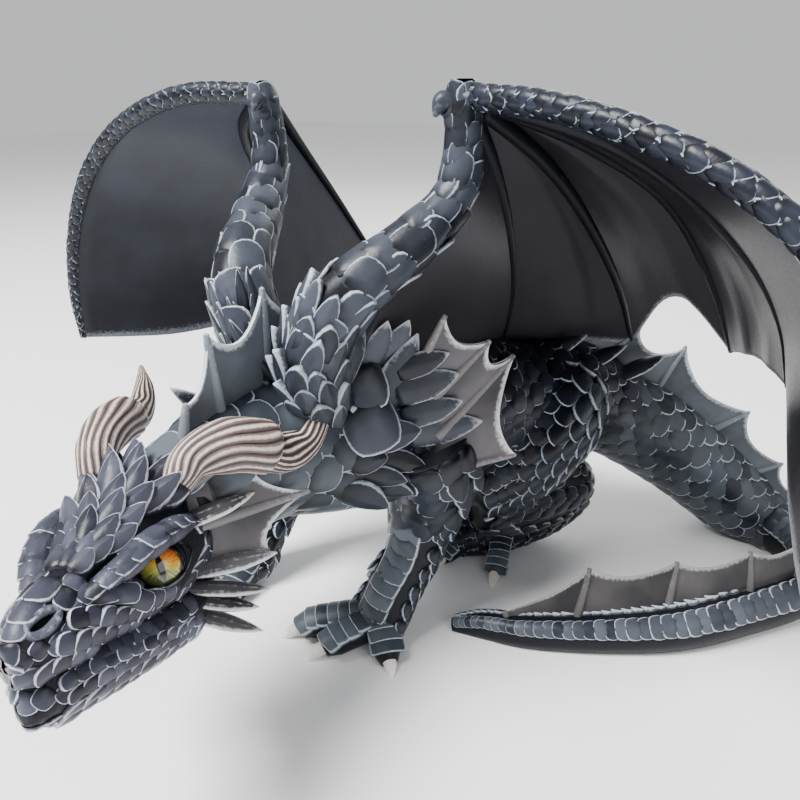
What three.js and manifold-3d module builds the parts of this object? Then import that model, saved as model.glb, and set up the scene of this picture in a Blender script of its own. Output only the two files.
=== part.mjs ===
// Statue of a dragon that crouches with raised wings and a tail curled round on the ground.
// Millimetres, +Z up. The chest faces -Y and +X is the dragon's left.
// The origin is on the ground, in the middle of the statue's outer box.
import * as THREE from 'three';
import Module from 'manifold-3d';

// Driving sizes
const statueHeight = 246; // ground to the top of the wings
const membrane = 2.6; // thickness of the wing skin
const finThickness = 2.2; // thickness of the crests and frills
const spineThickness = 5; // of the spines that carry them
const fingerRadius = 3.4; // wing finger at the wrist
const fingerTipRadius = 1.6;
const leadingRadius = 4.8; // front edge of the wing
const eyeRadius = 7.4;
const eyeClearance = 0.35; // gap between a glass eye and its socket
const clawRadius = 3.2;
const clawPoint = 0.4; // radius of its point
const clawArch = 1; // how far the claws curve up in the middle
const toeRadius = 6.8;
const hindToeRadius = 5.2;
const soleCut = 1.2; // how far the feet and tail are cut flat at the ground
const nostrilRadius = 2.6;

// The pose below is written for a statue 246 high and grows or shrinks with its height
const unit = statueHeight / 246;
const point = (x, y, z) => new THREE.Vector3(x, y, z).multiplyScalar(unit);
const midline = -12; // the plane that halves chest and wings

const wasm = await Module();
wasm.setup();

// A closed body from a list of corner points and a list of triangles
function body(corners, faces) {
  const vertProperties = new Float32Array(corners.flatMap((corner) => corner.toArray()));
  const triVerts = new Uint32Array(faces.flat());
  return new wasm.Manifold(new wasm.Mesh({ numProp: 3, vertProperties, triVerts }));
}

// A closed tube through stations [x, y, z, half width, half height]
function loft(stations, options = {}) {
  const { sides = 12, steps = stations.length * 2, up = new THREE.Vector3(0, 0, 1) } = options;
  const { section = (angle) => [Math.cos(angle), Math.sin(angle)], place = null } = options;
  const path = new THREE.CatmullRomCurve3(stations.map(([x, y, z]) => point(x, y, z)));
  const girth = new THREE.CatmullRomCurve3(stations.map(([, , , w, h = w]) => point(w, h, 0)));
  const corners = [];
  const faces = [];
  for (let ring = 0; ring <= steps; ring += 1) {
    const t = ring / steps;
    const centre = path.getPoint(t);
    const forward = path.getTangent(t);
    const side = new THREE.Vector3().crossVectors(forward, up).normalize();
    const top = new THREE.Vector3().crossVectors(side, forward);
    const size = girth.getPoint(t);
    for (let k = 0; k < sides; k += 1) {
      const [across, along] = section((2 * Math.PI * k) / sides, t);
      const corner = centre.clone();
      corner.addScaledVector(side, across * size.x);
      corner.addScaledVector(top, along * size.y);
      corners.push(corner);
    }
  }
  for (let ring = 0; ring < steps; ring += 1) {
    for (let k = 0; k < sides; k += 1) {
      const here = ring * sides + k;
      const next = ring * sides + ((k + 1) % sides);
      faces.push([here, here + sides, next + sides], [here, next + sides, next]);
    }
  }
  const first = corners.length;
  const last = steps * sides;
  corners.push(path.getPoint(0), path.getPoint(1));
  for (let k = 0; k < sides; k += 1) {
    const next = (k + 1) % sides;
    faces.push([first, k, next], [first + 1, last + next, last + k]);
  }
  if (place) {
    corners.forEach((corner) => corner.applyMatrix4(place));
  }
  return body(corners, faces);
}

// A closed sheet over rows of points; thickness(i, j) is its thickness at each of them
function sheet(rows, thickness) {
  const lines = rows.length;
  const columns = rows[0].length;
  const clamp = THREE.MathUtils.clamp;
  const at = (i, j) => rows[clamp(i, 0, lines - 1)][clamp(j, 0, columns - 1)];
  const corners = [];
  for (const face of [0.5, -0.5]) {
    for (let i = 0; i < lines; i += 1) {
      for (let j = 0; j < columns; j += 1) {
        const down = at(i + 1, j).clone().sub(at(i - 1, j));
        const across = at(i, j + 1).clone().sub(at(i, j - 1));
        const normal = down.cross(across).normalize();
        corners.push(at(i, j).clone().addScaledVector(normal, face * thickness(i, j)));
      }
    }
  }
  const half = lines * columns;
  const faces = [];
  for (let i = 0; i < lines - 1; i += 1) {
    for (let j = 0; j < columns - 1; j += 1) {
      const a = i * columns + j;
      const b = a + columns;
      faces.push([a, b, b + 1], [a, b + 1, a + 1]);
      faces.push([half + a, half + b + 1, half + b], [half + a, half + a + 1, half + b + 1]);
    }
  }
  const border = [];
  for (let i = 0; i < lines - 1; i += 1) border.push(i * columns);
  for (let j = 0; j < columns - 1; j += 1) border.push((lines - 1) * columns + j);
  for (let i = lines - 1; i > 0; i -= 1) border.push(i * columns + columns - 1);
  for (let j = columns - 1; j > 0; j -= 1) border.push(j);
  border.forEach((p, k) => {
    const q = border[(k + 1) % border.length];
    faces.push([half + p, half + q, q], [half + p, q, p]);
  });
  return body(corners, faces);
}

// A pointed leaf or thorn from base to tip; width and depth are half its sizes, depth towards face
function leaf(base, tip, width, depth, options = {}) {
  const { sides = 4, face = [0, 0, 1], place = null } = options;
  const up = new THREE.Vector3(...face);
  const from = new THREE.Vector3(...base);
  const to = new THREE.Vector3(...tip);
  const stations = [0.75, 1, 0.1].map((share, k) => {
    const centre = from.clone().lerp(to, k / 2);
    return [...centre.toArray(), width * share, depth * share];
  });
  return loft(stations, { sides, steps: 2, up, place });
}

// A webbed crest: a sheet from a line of roots to a line of spine tips, hollow between the spines
function web(roots, tips, hollow, place = null) {
  const parts = 2;
  const foot = new THREE.CatmullRomCurve3(roots.map((p) => point(...p)));
  const spans = tips.length - 1;
  const rows = [];
  for (let i = 0; i <= spans * parts; i += 1) {
    const span = Math.min(Math.floor(i / parts), spans - 1);
    const share = i / parts - span;
    const edge = point(...tips[span]).lerp(point(...tips[span + 1]), share);
    const root = foot.getPoint(i / (spans * parts));
    edge.lerp(root, hollow * Math.sin(Math.PI * share));
    rows.push([root, root.clone().lerp(edge, 0.5), edge]);
  }
  if (place) {
    rows.flat().forEach((corner) => corner.applyMatrix4(place));
  }
  return sheet(rows, (i, j) => (i % parts === 0 ? spineThickness * (1 - 0.3 * j) : finThickness));
}

const mirror = (points) => points.map(([x, ...rest]) => [-x, ...rest]);
const fuse = (pieces) => pieces.flat(2).reduce((sum, piece) => sum.add(piece));

// Neck, trunk and tail in one sweep: x, y, z, half width, half height
function trunk() {
  const stations = [
    [-14, -140, 112, 17, 18],
    [-17, -118, 113, 20, 23],
    [-19, -92, 113, 24, 26],
    [-16, -55, 108, 32, 33],
    [-12, -25, 104, 35, 36],
    [0, 20, 98, 32, 33],
    [10, 48, 95, 29, 29],
    [19, 72, 92, 30, 29],
    [32, 92, 84, 24, 26],
    [43, 105, 75, 22, 23.5],
    [60, 120, 62, 21.5, 23],
    [82, 134, 43.5, 20.5, 21.5],
    [106, 144, 24, 19.5, 19.5],
    [128, 146, 14, 14.5, 14.5],
    [149, 132, 11.5, 12.5, 12.5],
    [157, 110, 11, 11.5, 12],
    [150, 88, 11, 11, 12],
    [136, 64, 10.5, 10.5, 11.5],
    [114, 33, 9.6, 10, 10.6],
    [88, 10, 8.4, 8.8, 9.4],
    [57, -11, 7, 7.2, 8],
    [38, -19, 5.8, 5.4, 6.6],
    [26, -25, 4, 2.6, 3.6],
  ];
  const section = (angle) => {
    const keel = Math.max(0, Math.sin(angle)) ** 6 * 0.06;
    return [Math.cos(angle), Math.sin(angle) + keel];
  };
  return loft(stations, { sides: 11, steps: 28, section });
}

// The head has its own axes: +X its left, +Y back towards the neck, +Z up, between the eyes
const headTurn = THREE.MathUtils.degToRad(27.8);
const headPitch = THREE.MathUtils.degToRad(-6.6);
const headRoll = THREE.MathUtils.degToRad(-1.7);
const headPlace = new THREE.Matrix4()
  .makeRotationFromEuler(new THREE.Euler(headPitch, headRoll, headTurn, 'ZXY'))
  .setPosition(point(-9, -158, 107));
const eyeSpot = [13.6, -7.2, 0.5]; // the left eye's middle on the head's own axes

// Skull and jaw stations are [forward, top, bottom, half width]
function profile(rows) {
  return rows.map(([forward, top, bottom, wide]) => {
    return [0, -forward, (top + bottom) / 2, wide, (top - bottom) / 2];
  });
}

function skull() {
  const upper = profile([
    [53, 0, -9, 3],
    [50.5, 4.6, -11, 6.2],
    [46, 9, -11.5, 8.4],
    [40, 11.5, -12, 10.4],
    [30, 13, -13.5, 12.6],
    [20, 16, -15.5, 16.4],
    [10, 18.5, -17, 18.8],
    [0, 20.5, -18, 20.4],
    [-10, 21.5, -18, 20],
    [-20, 20, -16, 17.5],
    [-32, 15, -13, 13],
  ]);
  const jaw = profile([
    [48.5, -14, -23, 2],
    [45, -9, -25, 5],
    [38, -9, -25.5, 9],
    [25, -10, -28, 13.2],
    [8, -12, -31.5, 17.6],
    [-6, -12, -33, 20],
    [-18, -8, -27, 18],
    [-30, -6, -17, 13],
  ]);
  // Cheeks stand out low and the forehead draws in
  const section = (angle) => {
    const rise = Math.sin(angle);
    const square = 1 / Math.pow(Math.abs(Math.cos(angle)) ** 2.2 + Math.abs(rise) ** 2.2, 1 / 2.2);
    const draw = 1 - 0.24 * Math.max(0, rise);
    return [Math.cos(angle) * square * draw, rise * square];
  };
  return [
    loft(upper, { sides: 12, steps: 11, section, place: headPlace }),
    loft(jaw, { sides: 8, steps: 7, section, place: headPlace }),
  ];
}

// Brow, eyelid, snout ridge and cheek thorns, mirrored to both sides of the head
function headSide(flip) {
  const place = headPlace;
  const brow = [
    [9, -32, 8, 2],
    [13, -25, 10, 3.6],
    [16.4, -14, 12.6, 4.2],
    [18.4, -3, 12, 3.8],
    [18.5, 8, 9, 1.5],
  ];
  const lid = [[14, -20, -2, 1.4], [16.8, -14, -5.6, 2.4], [18.8, -6, -7.6, 2.6], [19.6, 2, -5, 1.6]];
  const nostril = [[5.6, -38, 11, 1.5], [8.2, -43.5, 9.4, 3.2], [7, -50, 5, 1.6]];
  const pieces = [
    loft(flip(brow), { sides: 5, steps: 5, place }),
    loft(flip(lid), { sides: 4, steps: 3, place }),
    loft(flip(nostril), { sides: 5, steps: 2, place }),
  ];
  const thorns = [
    [[14.5, 3, 9], [31.4, 26, 11], 5, 2.6], // behind the brow
    [[14, 6, -9], [38, 26, -11], 6, 3], // cheek, upper
    [[13, 6, -15], [36, 22, -23], 4.6, 2.6], // cheek, middle
    [[13, 6, -19], [33, 19, -28.5], 4.6, 2.6], // cheek, lower
    [[12, 6, -24], [33, 20.5, -39], 5.4, 2.4], // corner of the jaw
  ];
  for (const [base, tip, width, depth] of thorns) {
    pieces.push(leaf(...flip([base, tip]), width, depth, { place, face: [0.2, 0.1, 1] }));
  }
  // Ear frill: a web that spreads from the temple over the cheek
  const roots = flip([[15, 9, 19], [16, 9, 10], [16, 9, 0], [15, 9, -9]]);
  const tips = flip([[27, 30, 24], [45, 42, 5.5], [35, 26, -10]]);
  pieces.push(web(roots, tips, 0.22, place));
  return pieces;
}

// Each horn: a thick grooved root, and a thinner end that hooks up. Stations on the head's axes.
function horns() {
  const left = [
    [14, 7, 21, 5],
    [16, 13, 26.5, 6.5],
    [23.2, 24, 28, 9.4],
    [31.6, 35, 24, 9.8],
    [34, 38.5, 22, 6],
  ];
  const leftEnd = [
    [31, 34, 22.5, 7],
    [37, 42, 19.8, 7.2],
    [42, 49.5, 21, 6],
    [46, 56, 28, 4],
    [49.5, 62, 38.5, 0.8],
  ];
  const right = [
    [-14, 7, 21, 5],
    [-16.3, 13.5, 28, 6.5],
    [-19.9, 27, 30.5, 8],
    [-22.6, 41, 29.5, 8.4],
    [-23.5, 45, 29, 5.5],
  ];
  const rightEnd = [
    [-22, 40, 29, 6],
    [-24, 50, 27.5, 6],
    [-25.5, 58, 29, 5],
    [-28, 65, 34, 3.8],
    [-32, 71.5, 41, 0.8],
  ];
  return [left, leftEnd, right, rightEnd].map((stations) => {
    return loft(stations, { sides: 6, steps: 4, place: headPlace });
  });
}

// Leaf scales that stand up over the forehead
function crown() {
  const pieces = [];
  const rows = [[30, 7, 5], [20, 9.5, 7.5], [9, 12, 9], [-3, 14, 10]]; // forward, spread, length
  for (const [forward, spread, length] of rows) {
    for (const side of [-1, 1]) {
      const base = [side * spread * 0.55, -forward, 13 + (30 - forward) * 0.16];
      const tip = [side * spread, -forward + length, base[2] + length * 0.75];
      pieces.push(leaf(base, tip, 4.6, 2, { place: headPlace, face: [0, -0.7, 0.7] }));
    }
  }
  return pieces;
}

// A toe from the foot to its blunt end, which rests on the ground, and the claw in front of it
function toe(root, end, tip, radius = toeRadius) {
  const from = new THREE.Vector3(...end);
  const to = new THREE.Vector3(...tip);
  const out = to.clone().sub(from).normalize();
  const heel = from.clone().addScaledVector(out, -radius * 0.2);
  const nose = from.clone().addScaledVector(out, radius * 0.75);
  const quick = from.clone().lerp(to, 0.55);
  quick.z += clawArch;
  const finger = [[...root, radius * 1.15], [...heel.toArray(), radius], [...nose.toArray(), radius * 0.6]];
  const claw = [[...end, clawRadius], [...quick.toArray(), clawRadius], [...tip, clawPoint]];
  return [loft(finger, { sides: 6, steps: 2 }), loft(claw, { sides: 4, steps: 2 })];
}

const forwardUp = new THREE.Vector3(0, -1, 0.2);

// Left foreleg stands forward, the right one is set wide beyond the head
function forelegs() {
  const left = [
    [16, -34, 108, 18, 23],
    [17, -27, 88, 16, 19],
    [9.6, -25, 66, 15, 16],
    [8, -32, 45, 11.5, 12.4],
    [4, -43, 27, 11.4, 11],
    [1, -50, 14, 13, 9.6],
    [-1, -54, 9, 10, 6],
  ];
  const right = [
    [-42, -34, 108, 18, 23],
    [-58, -26, 90, 14, 18],
    [-68, -26, 68, 11.5, 13],
    [-74, -38, 46, 10.5, 11.5],
    [-78, -50, 28, 10.6, 10.6],
    [-80, -57, 14, 12, 9.6],
    [-81, -61, 9, 9, 6],
  ];
  return [
    loft(left, { sides: 8, steps: 6, up: forwardUp }),
    loft(right, { sides: 8, steps: 6, up: forwardUp }),
    toe([-4, -53, 12], [-25.5, -69, 6.4], [-34.5, -80, 1.6]),
    toe([-1, -56, 11], [-9.2, -71, 6.4], [-15.3, -84, 1.4]),
    toe([4, -52, 11], [14, -60, 6.2], [22.9, -67, 1]),
    toe([-85, -60, 11], [-102, -70, 6.4], [-112, -78, 1.6]),
    toe([-82, -64, 11], [-89, -79, 6.4], [-94, -92, 1.6]),
    toe([-77, -62, 11], [-74, -77, 6.2], [-72, -89, 1.6]),
  ];
}

// Hind legs fold tight under the hips; stations run hip, knee, heel, toes
function hindleg(thigh, shank, foot) {
  return [
    loft(thigh, { sides: 8, steps: 4 }),
    loft(shank, { sides: 6, steps: 3 }),
    loft(foot, { sides: 6, steps: 4 }),
  ];
}

function hindlegs() {
  const left = hindleg(
    [
      [24, 84, 94, 15, 19],
      [32, 64, 88, 20, 27],
      [31, 42, 76, 17, 24],
      [23, 22, 63, 14, 20],
      [17, 8, 57, 10, 14],
    ],
    [
      [18, 12, 52, 12, 16],
      [27, 42, 46, 15, 20],
      [33, 68, 40, 14, 18],
      [36, 82, 36, 10, 13],
    ],
    [
      [36, 84, 34, 9, 13],
      [26, 70, 24, 12, 15],
      [14, 53, 17, 12, 14],
      [0, 36, 12, 11, 11],
      [-11, 24, 9, 8, 7],
    ],
  );
  const right = hindleg(
    [
      [-8, 90, 94, 15, 19],
      [-22, 76, 86, 18, 25],
      [-34, 54, 74, 15, 20],
      [-36, 36, 60, 11, 14],
      [-36, 28, 55, 7, 8],
    ],
    [
      [-36, 36, 56, 10, 11],
      [-33, 56, 44, 10, 12],
      [-31, 76, 33, 9, 10],
    ],
    [
      [-31, 80, 33, 8, 9],
      [-31, 66, 25, 9, 10],
      [-31, 48, 17, 10, 10],
      [-30, 32, 10, 10, 8],
      [-30, 26, 7, 8, 6],
    ],
  );
  return [
    ...left,
    ...right,
    toe([13, 44, 16], [21.6, 24, 7], [25, 13, 0.8], hindToeRadius),
    toe([-2, 33, 9.6], [-7, 17, 4.9], [-8, 5, 1.4], hindToeRadius),
    toe([-7, 36, 8.3], [-20, 28, 4.9], [-29, 20, 1.2], hindToeRadius),
    toe([-28, 36, 9.4], [-24, 24, 4.9], [-21, 12, 1.4], hindToeRadius),
    toe([-32, 33, 8.8], [-34, 20, 4.8], [-35, 8, 1.4], hindToeRadius),
  ];
}

// Wings: each point is [distance from the midline, y, z], written once and used on both sides
const wrist = [47, -44, 238];
const wingArm = [
  [5, -68, 116, 11, 12],
  [13, -84, 148, 11.5, 12],
  [24, -83, 173, 10, 11],
  [37.5, -62, 191, 8, 9],
  [45.5, -46, 207, 6, 7],
  [47, -43.5, 224, 5.6, 6.4],
  [47, -45, 236, 5.4, 6],
  [47.5, -46, 241, 3, 3.6],
];
const wristSpur = [
  [46, -45, 232, 4.4],
  [43.6, -51, 236, 3.6],
  [42.6, -54, 232, 0.8],
];
const innerFingers = [
  [wrist, [46, -45, 212], [36, -62, 188], [24, -72, 160], [14, -60, 132]],
  [wrist, [44, -20, 216], [37, 8, 186], [27, 32, 152], [14, 44, 112]],
  [wrist, [56, -4, 216], [60, 32, 190], [62, 74, 152], [60, 107, 116]],
  [wrist, [66, 6, 222], [84, 60, 195], [98, 104, 150], [104, 134, 113]],
  [wrist, [88, -12, 222], [120, 44, 182], [134, 73, 148], [140, 86, 118]],
];
const leadingLeft = [
  wrist,
  [90, -53, 234],
  [135, -58, 220],
  [165, -61, 197],
  [185, -63, 163],
  [193, -62, 122],
  [190, -58, 84],
];
const leadingRight = [
  wrist,
  [91, -53, 237],
  [136, -58, 221],
  [166, -61, 195],
  [185, -63, 160],
  [194, -62, 132],
  [197, -60, 110],
];
// The right wing is opened further forward than the left, each finger by its own angle in degrees
const swing = [0, 20, 22, 19, 8];
const hollows = [0, 0.04, 0.22, 0.03, 0]; // how deep the edge is cut between two fingers, of their length
const bows = [0, 6, 8, 8, 14]; // how far the skin bellies out behind them
const leftLobe = 30; // how far the outermost skin hangs below its two fingertips
const rightLobe = 13;

function wing(side) {
  const place = ([off, ...rest]) => [midline + side * off, ...rest];
  const leading = side > 0 ? leadingLeft : leadingRight;
  const lobe = side > 0 ? leftLobe : rightLobe;
  const inner = innerFingers.map((finger, k) => {
    const angle = side > 0 ? 0 : THREE.MathUtils.degToRad(swing[k]);
    return finger.map(([off, y, z]) => {
      const [dx, dy] = [off - wrist[0], y - wrist[1]];
      const [c, s] = [Math.cos(angle), Math.sin(angle)];
      return [wrist[0] + dx * c + dy * s, wrist[1] + dy * c - dx * s, z];
    });
  });
  const curves = [...inner, leading].map((points) => {
    return new THREE.CatmullRomCurve3(points.map((p) => point(...place(p))));
  });
  // One skin across all fingers, thick along each finger, bowed between them and hollow at its edge
  const spread = [0, 0.2, 0.5, 0.8];
  const lines = 5;
  const rows = [];
  const ribs = [];
  for (let i = 0; i <= lines; i += 1) {
    const row = [];
    for (let k = 0; k < curves.length - 1; k += 1) {
      for (const t of k < curves.length - 2 ? spread : [...spread, 1]) {
        const swell = Math.sin(Math.PI * t);
        const s = (0.06 + (0.94 * i) / lines) * (1 - hollows[k] * swell);
        const spot = curves[k].getPoint(s).lerp(curves[k + 1].getPoint(s), t);
        spot.y += bows[k] * unit * swell * Math.sin(Math.PI * Math.min(1, s * 0.8));
        if (k === curves.length - 2) spot.z -= lobe * unit * swell * s ** 4;
        if (i === 0) ribs.push(t === 0 || t === 1);
        row.push(spot);
      }
    }
    rows.push(row);
  }
  const rib = (i) => 2 * (fingerRadius + ((fingerTipRadius - fingerRadius) * i) / lines);
  const edge = leading.map(([off, y, z], k) => {
    const t = k / (leading.length - 1);
    return [midline + side * off, y, z, leadingRadius + (fingerTipRadius - leadingRadius) * t ** 2];
  });
  return [
    loft(wingArm.map(place), { sides: 6, steps: 8, up: forwardUp }),
    loft(wristSpur.map(place), { sides: 5, steps: 2, up: forwardUp }),
    sheet(rows, (i, j) => (ribs[j] ? rib(i) : membrane)),
    loft(edge, { sides: 5, steps: 9, up: new THREE.Vector3(side, 0.3, 0.2) }),
  ];
}

// Crests along the neck and the tail, and the frill behind each shoulder
function crests() {
  const neck = web(
    [[-14, -132, 128], [-15, -114, 134], [-17, -90, 136], [-16, -58, 138]],
    [[-14, -128, 146], [-14, -117, 167], [-14, -92, 177], [-14, -60, 177]],
    0.3,
  );
  const hipRoots = [
    [6, 52, 120],
    [20, 76, 116],
    [34, 94, 104],
    [58, 118, 80],
    [84, 134, 60],
    [108, 144, 38],
    [130, 148, 22],
  ];
  const hipTips = [
    [8, 56, 130],
    [24, 84, 136],
    [52, 106, 125],
    [71, 127, 113],
    [105, 148, 76],
    [126, 156, 47],
    [142, 152, 30],
  ];
  const hips = web(hipRoots, hipTips, 0.3);
  const lying = web(
    [[158, 112, 18], [150, 88, 18], [136, 64, 17], [108, 30, 15], [76, 2, 12], [50, -14, 9]],
    [[160, 112, 30], [150, 94, 40], [131, 70, 39], [106, 42, 38], [75, 15, 36], [48, -14, 16]],
    0.2,
  );
  const pieces = [neck, hips, lying];
  for (const side of [1, -1]) {
    const place = ([x, ...rest]) => [midline + side * (x - midline), ...rest];
    const roots = [[18, -50, 134], [24, -44, 128], [26, -42, 112], [24, -46, 96]].map(place);
    const tips = [[30, -44, 164], [40, -28, 152], [42, -12, 142], [46, -12, 98]].map(place);
    pieces.push(web(roots, tips, 0.2));
  }
  return pieces;
}

// Long pointed scales over the wing roots, shoulders and rump
function mane() {
  const pieces = [];
  for (const side of [1, -1]) {
    const x = (off) => midline + side * off;
    const spikes = [
      [[x(18), -80, 140], [x(26), -72, 168], 7, 2.4],
      [[x(22), -60, 122], [x(34), -50, 157], 8, 2.4],
      [[x(30), -46, 120], [x(48), -20, 132], 7, 2.4],
      [[x(32), -44, 106], [x(48), -18, 112], 7, 2.4],
    ];
    for (const [base, tip, width, depth] of spikes) {
      pieces.push(leaf(base, tip, width, depth, { face: [side, -0.4, 0.3] }));
    }
  }
  // One curled spike stands out on the right of the neck
  pieces.push(leaf([-30, -98, 118], [-47, -112, 138], 5, 2.4, { face: [0.5, -0.8, 0.3] }));
  for (let k = 0; k < 3; k += 1) {
    const t = k / 2;
    const base = [10 + 30 * t, 62 + 34 * t, 120 - 14 * t];
    for (const side of [1, -1]) {
      const from = [base[0] + side * 7, base[1] - side * 4, base[2] - 6];
      const tip = [from[0] + 14 + side * 6, from[1] + 15, from[2] + 13];
      pieces.push(leaf(from, tip, 5, 2.2, { face: [0.2, -0.5, 0.8] }));
    }
  }
  return pieces;
}

// A ball, placed on the head's own axes
function ball(spot, radius, stretch = [1, 1, 1], detail = [10, 8]) {
  const geometry = new THREE.SphereGeometry(radius, ...detail);
  geometry.scale(...stretch);
  geometry.translate(...spot);
  geometry.applyMatrix4(headPlace);
  return solid(geometry);
}

// Turns a three.js shape into a body by joining the corners that share a place
function solid(geometry) {
  const spots = new Map();
  const corners = [];
  const remap = [];
  const position = geometry.attributes.position;
  for (let i = 0; i < position.count; i += 1) {
    const corner = new THREE.Vector3().fromBufferAttribute(position, i);
    const key = corner.toArray().map((value) => Math.round(value * 1e4)).join();
    if (!spots.has(key)) {
      spots.set(key, corners.length);
      corners.push(corner);
    }
    remap.push(spots.get(key));
  }
  const faces = [];
  const index = geometry.index.array;
  for (let i = 0; i < index.length; i += 3) {
    const face = [remap[index[i]], remap[index[i + 1]], remap[index[i + 2]]];
    if (new Set(face).size === 3) faces.push(face);
  }
  return body(corners, faces);
}

function toMesh(manifold, name, material) {
  const mesh = manifold.getMesh();
  const stride = mesh.numProp;
  const position = new Float32Array((mesh.vertProperties.length / stride) * 3);
  for (let i = 0; i < position.length / 3; i += 1) {
    position.set(mesh.vertProperties.subarray(i * stride, i * stride + 3), i * 3);
  }
  const geometry = new THREE.BufferGeometry();
  geometry.setAttribute('position', new THREE.BufferAttribute(position, 3));
  geometry.setIndex(new THREE.BufferAttribute(new Uint32Array(mesh.triVerts), 1));
  geometry.computeVertexNormals();
  const result = new THREE.Mesh(geometry, material);
  result.name = name;
  return result;
}

const flipLeft = (points) => points;
const pieces = [
  trunk(),
  skull(),
  headSide(flipLeft),
  headSide(mirror),
  horns(),
  crown(),
  forelegs(),
  hindlegs(),
  wing(1),
  wing(-1),
  crests(),
  mane(),
];
let statue = fuse(pieces);

// Sockets for the eyes, hollows for the nostrils, and the flat underside
const eyes = [];
for (const side of [1, -1]) {
  const spot = [side * eyeSpot[0], eyeSpot[1], eyeSpot[2]].map((value) => value * unit);
  statue = statue.subtract(ball(spot, eyeRadius + eyeClearance));
  eyes.push(ball(spot, eyeRadius));
  const nose = [side * 9.4, -46, 8.6].map((value) => value * unit);
  statue = statue.subtract(ball(nose, nostrilRadius, [1, 1.5, 0.8], [8, 6]));
}
const underground = new THREE.BoxGeometry(900 * unit, 900 * unit, 100 * unit);
underground.translate(0, 0, soleCut - 50 * unit);
statue = statue.subtract(solid(underground));

const resin = new THREE.MeshStandardMaterial({ color: 0x4d525e, roughness: 0.55, metalness: 0 });
const glass = new THREE.MeshStandardMaterial({ color: 0xc78a1e, roughness: 0.08, metalness: 0 });
const dragon = new THREE.Group();
dragon.add(toMesh(statue, 'dragon', resin));
dragon.add(toMesh(eyes[0], 'eye_left', glass));
dragon.add(toMesh(eyes[1], 'eye_right', glass));

const box = new THREE.Box3().setFromObject(dragon);
const middle = box.getCenter(new THREE.Vector3());
dragon.position.set(-middle.x, -middle.y, -box.min.z);
dragon.updateMatrixWorld(true);

export default dragon;
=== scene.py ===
import math

import bpy
import numpy as np
from mathutils import Matrix, Vector
from mathutils.bvhtree import BVHTree


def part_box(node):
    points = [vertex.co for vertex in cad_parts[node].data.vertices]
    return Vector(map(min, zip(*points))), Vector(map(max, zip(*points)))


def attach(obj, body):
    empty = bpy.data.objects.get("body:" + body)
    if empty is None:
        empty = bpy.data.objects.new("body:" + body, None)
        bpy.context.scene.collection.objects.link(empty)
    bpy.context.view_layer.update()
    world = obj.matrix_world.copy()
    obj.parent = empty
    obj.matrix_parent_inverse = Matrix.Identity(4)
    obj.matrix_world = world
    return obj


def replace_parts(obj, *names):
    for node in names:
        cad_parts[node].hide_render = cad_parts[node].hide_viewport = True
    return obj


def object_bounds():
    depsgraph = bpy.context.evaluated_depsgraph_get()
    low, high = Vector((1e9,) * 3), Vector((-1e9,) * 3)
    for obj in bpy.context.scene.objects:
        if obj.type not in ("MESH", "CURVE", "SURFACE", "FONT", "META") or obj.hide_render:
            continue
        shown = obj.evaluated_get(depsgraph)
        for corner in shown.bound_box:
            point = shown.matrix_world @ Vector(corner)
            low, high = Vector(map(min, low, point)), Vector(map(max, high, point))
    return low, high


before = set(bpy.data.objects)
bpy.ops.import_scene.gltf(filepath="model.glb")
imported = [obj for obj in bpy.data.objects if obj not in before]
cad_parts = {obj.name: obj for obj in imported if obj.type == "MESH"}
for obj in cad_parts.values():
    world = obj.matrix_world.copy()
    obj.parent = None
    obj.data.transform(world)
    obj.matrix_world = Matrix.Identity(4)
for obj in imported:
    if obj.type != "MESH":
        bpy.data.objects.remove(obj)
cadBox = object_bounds()

# The pose is written in millimetres with the chest towards -Y and the dragon's left towards +X.
# The statue in the frame gives its scale and its place.
pose = {"height": 241.8, "midline": -12.0, "headAt": (-9, -158, 107), "headPitch": -6.6, "headRoll": -1.7,
        "headTurn": 27.8, "eyeSpot": (13.6, -7.2, 0.5), "eyeRadius": 7.4}
dice = np.random.default_rng(11)
tau = 2 * math.pi

headTurn = (Matrix.Rotation(math.radians(pose["headTurn"]), 3, "Z")
            @ Matrix.Rotation(math.radians(pose["headPitch"]), 3, "X")
            @ Matrix.Rotation(math.radians(pose["headRoll"]), 3, "Y"))
headAxes = np.array(headTurn)
headAt = np.array(pose["headAt"], float)
cadLow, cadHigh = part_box("dragon")
unit = (cadHigh.z - cadLow.z) * 1000 / pose["height"]


def onHead(points):
    return np.asarray(points, float) @ headAxes.T + headAt


eyeLow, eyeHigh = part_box("eye_left")
shift = np.array((eyeLow + eyeHigh) * 500) - onHead(pose["eyeSpot"]) * unit


def toFrame(points):
    return (np.asarray(points, float) * unit + shift) / 1000


def toPose(points):
    return (np.asarray(points, float) * 1000 - shift) / unit


def unitRow(v):
    return v / np.maximum(np.linalg.norm(v, axis=-1, keepdims=True), 1e-9)


def scattered(count, spread):
    # factors round one, from the seeded dice
    return 1 + spread * dice.uniform(-1, 1, count)


def graded(values, t):
    # a number, or a run of values spread evenly from 0 to 1
    values = np.atleast_1d(values)
    return np.interp(t, np.linspace(0, 1, len(values)), values)


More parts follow.
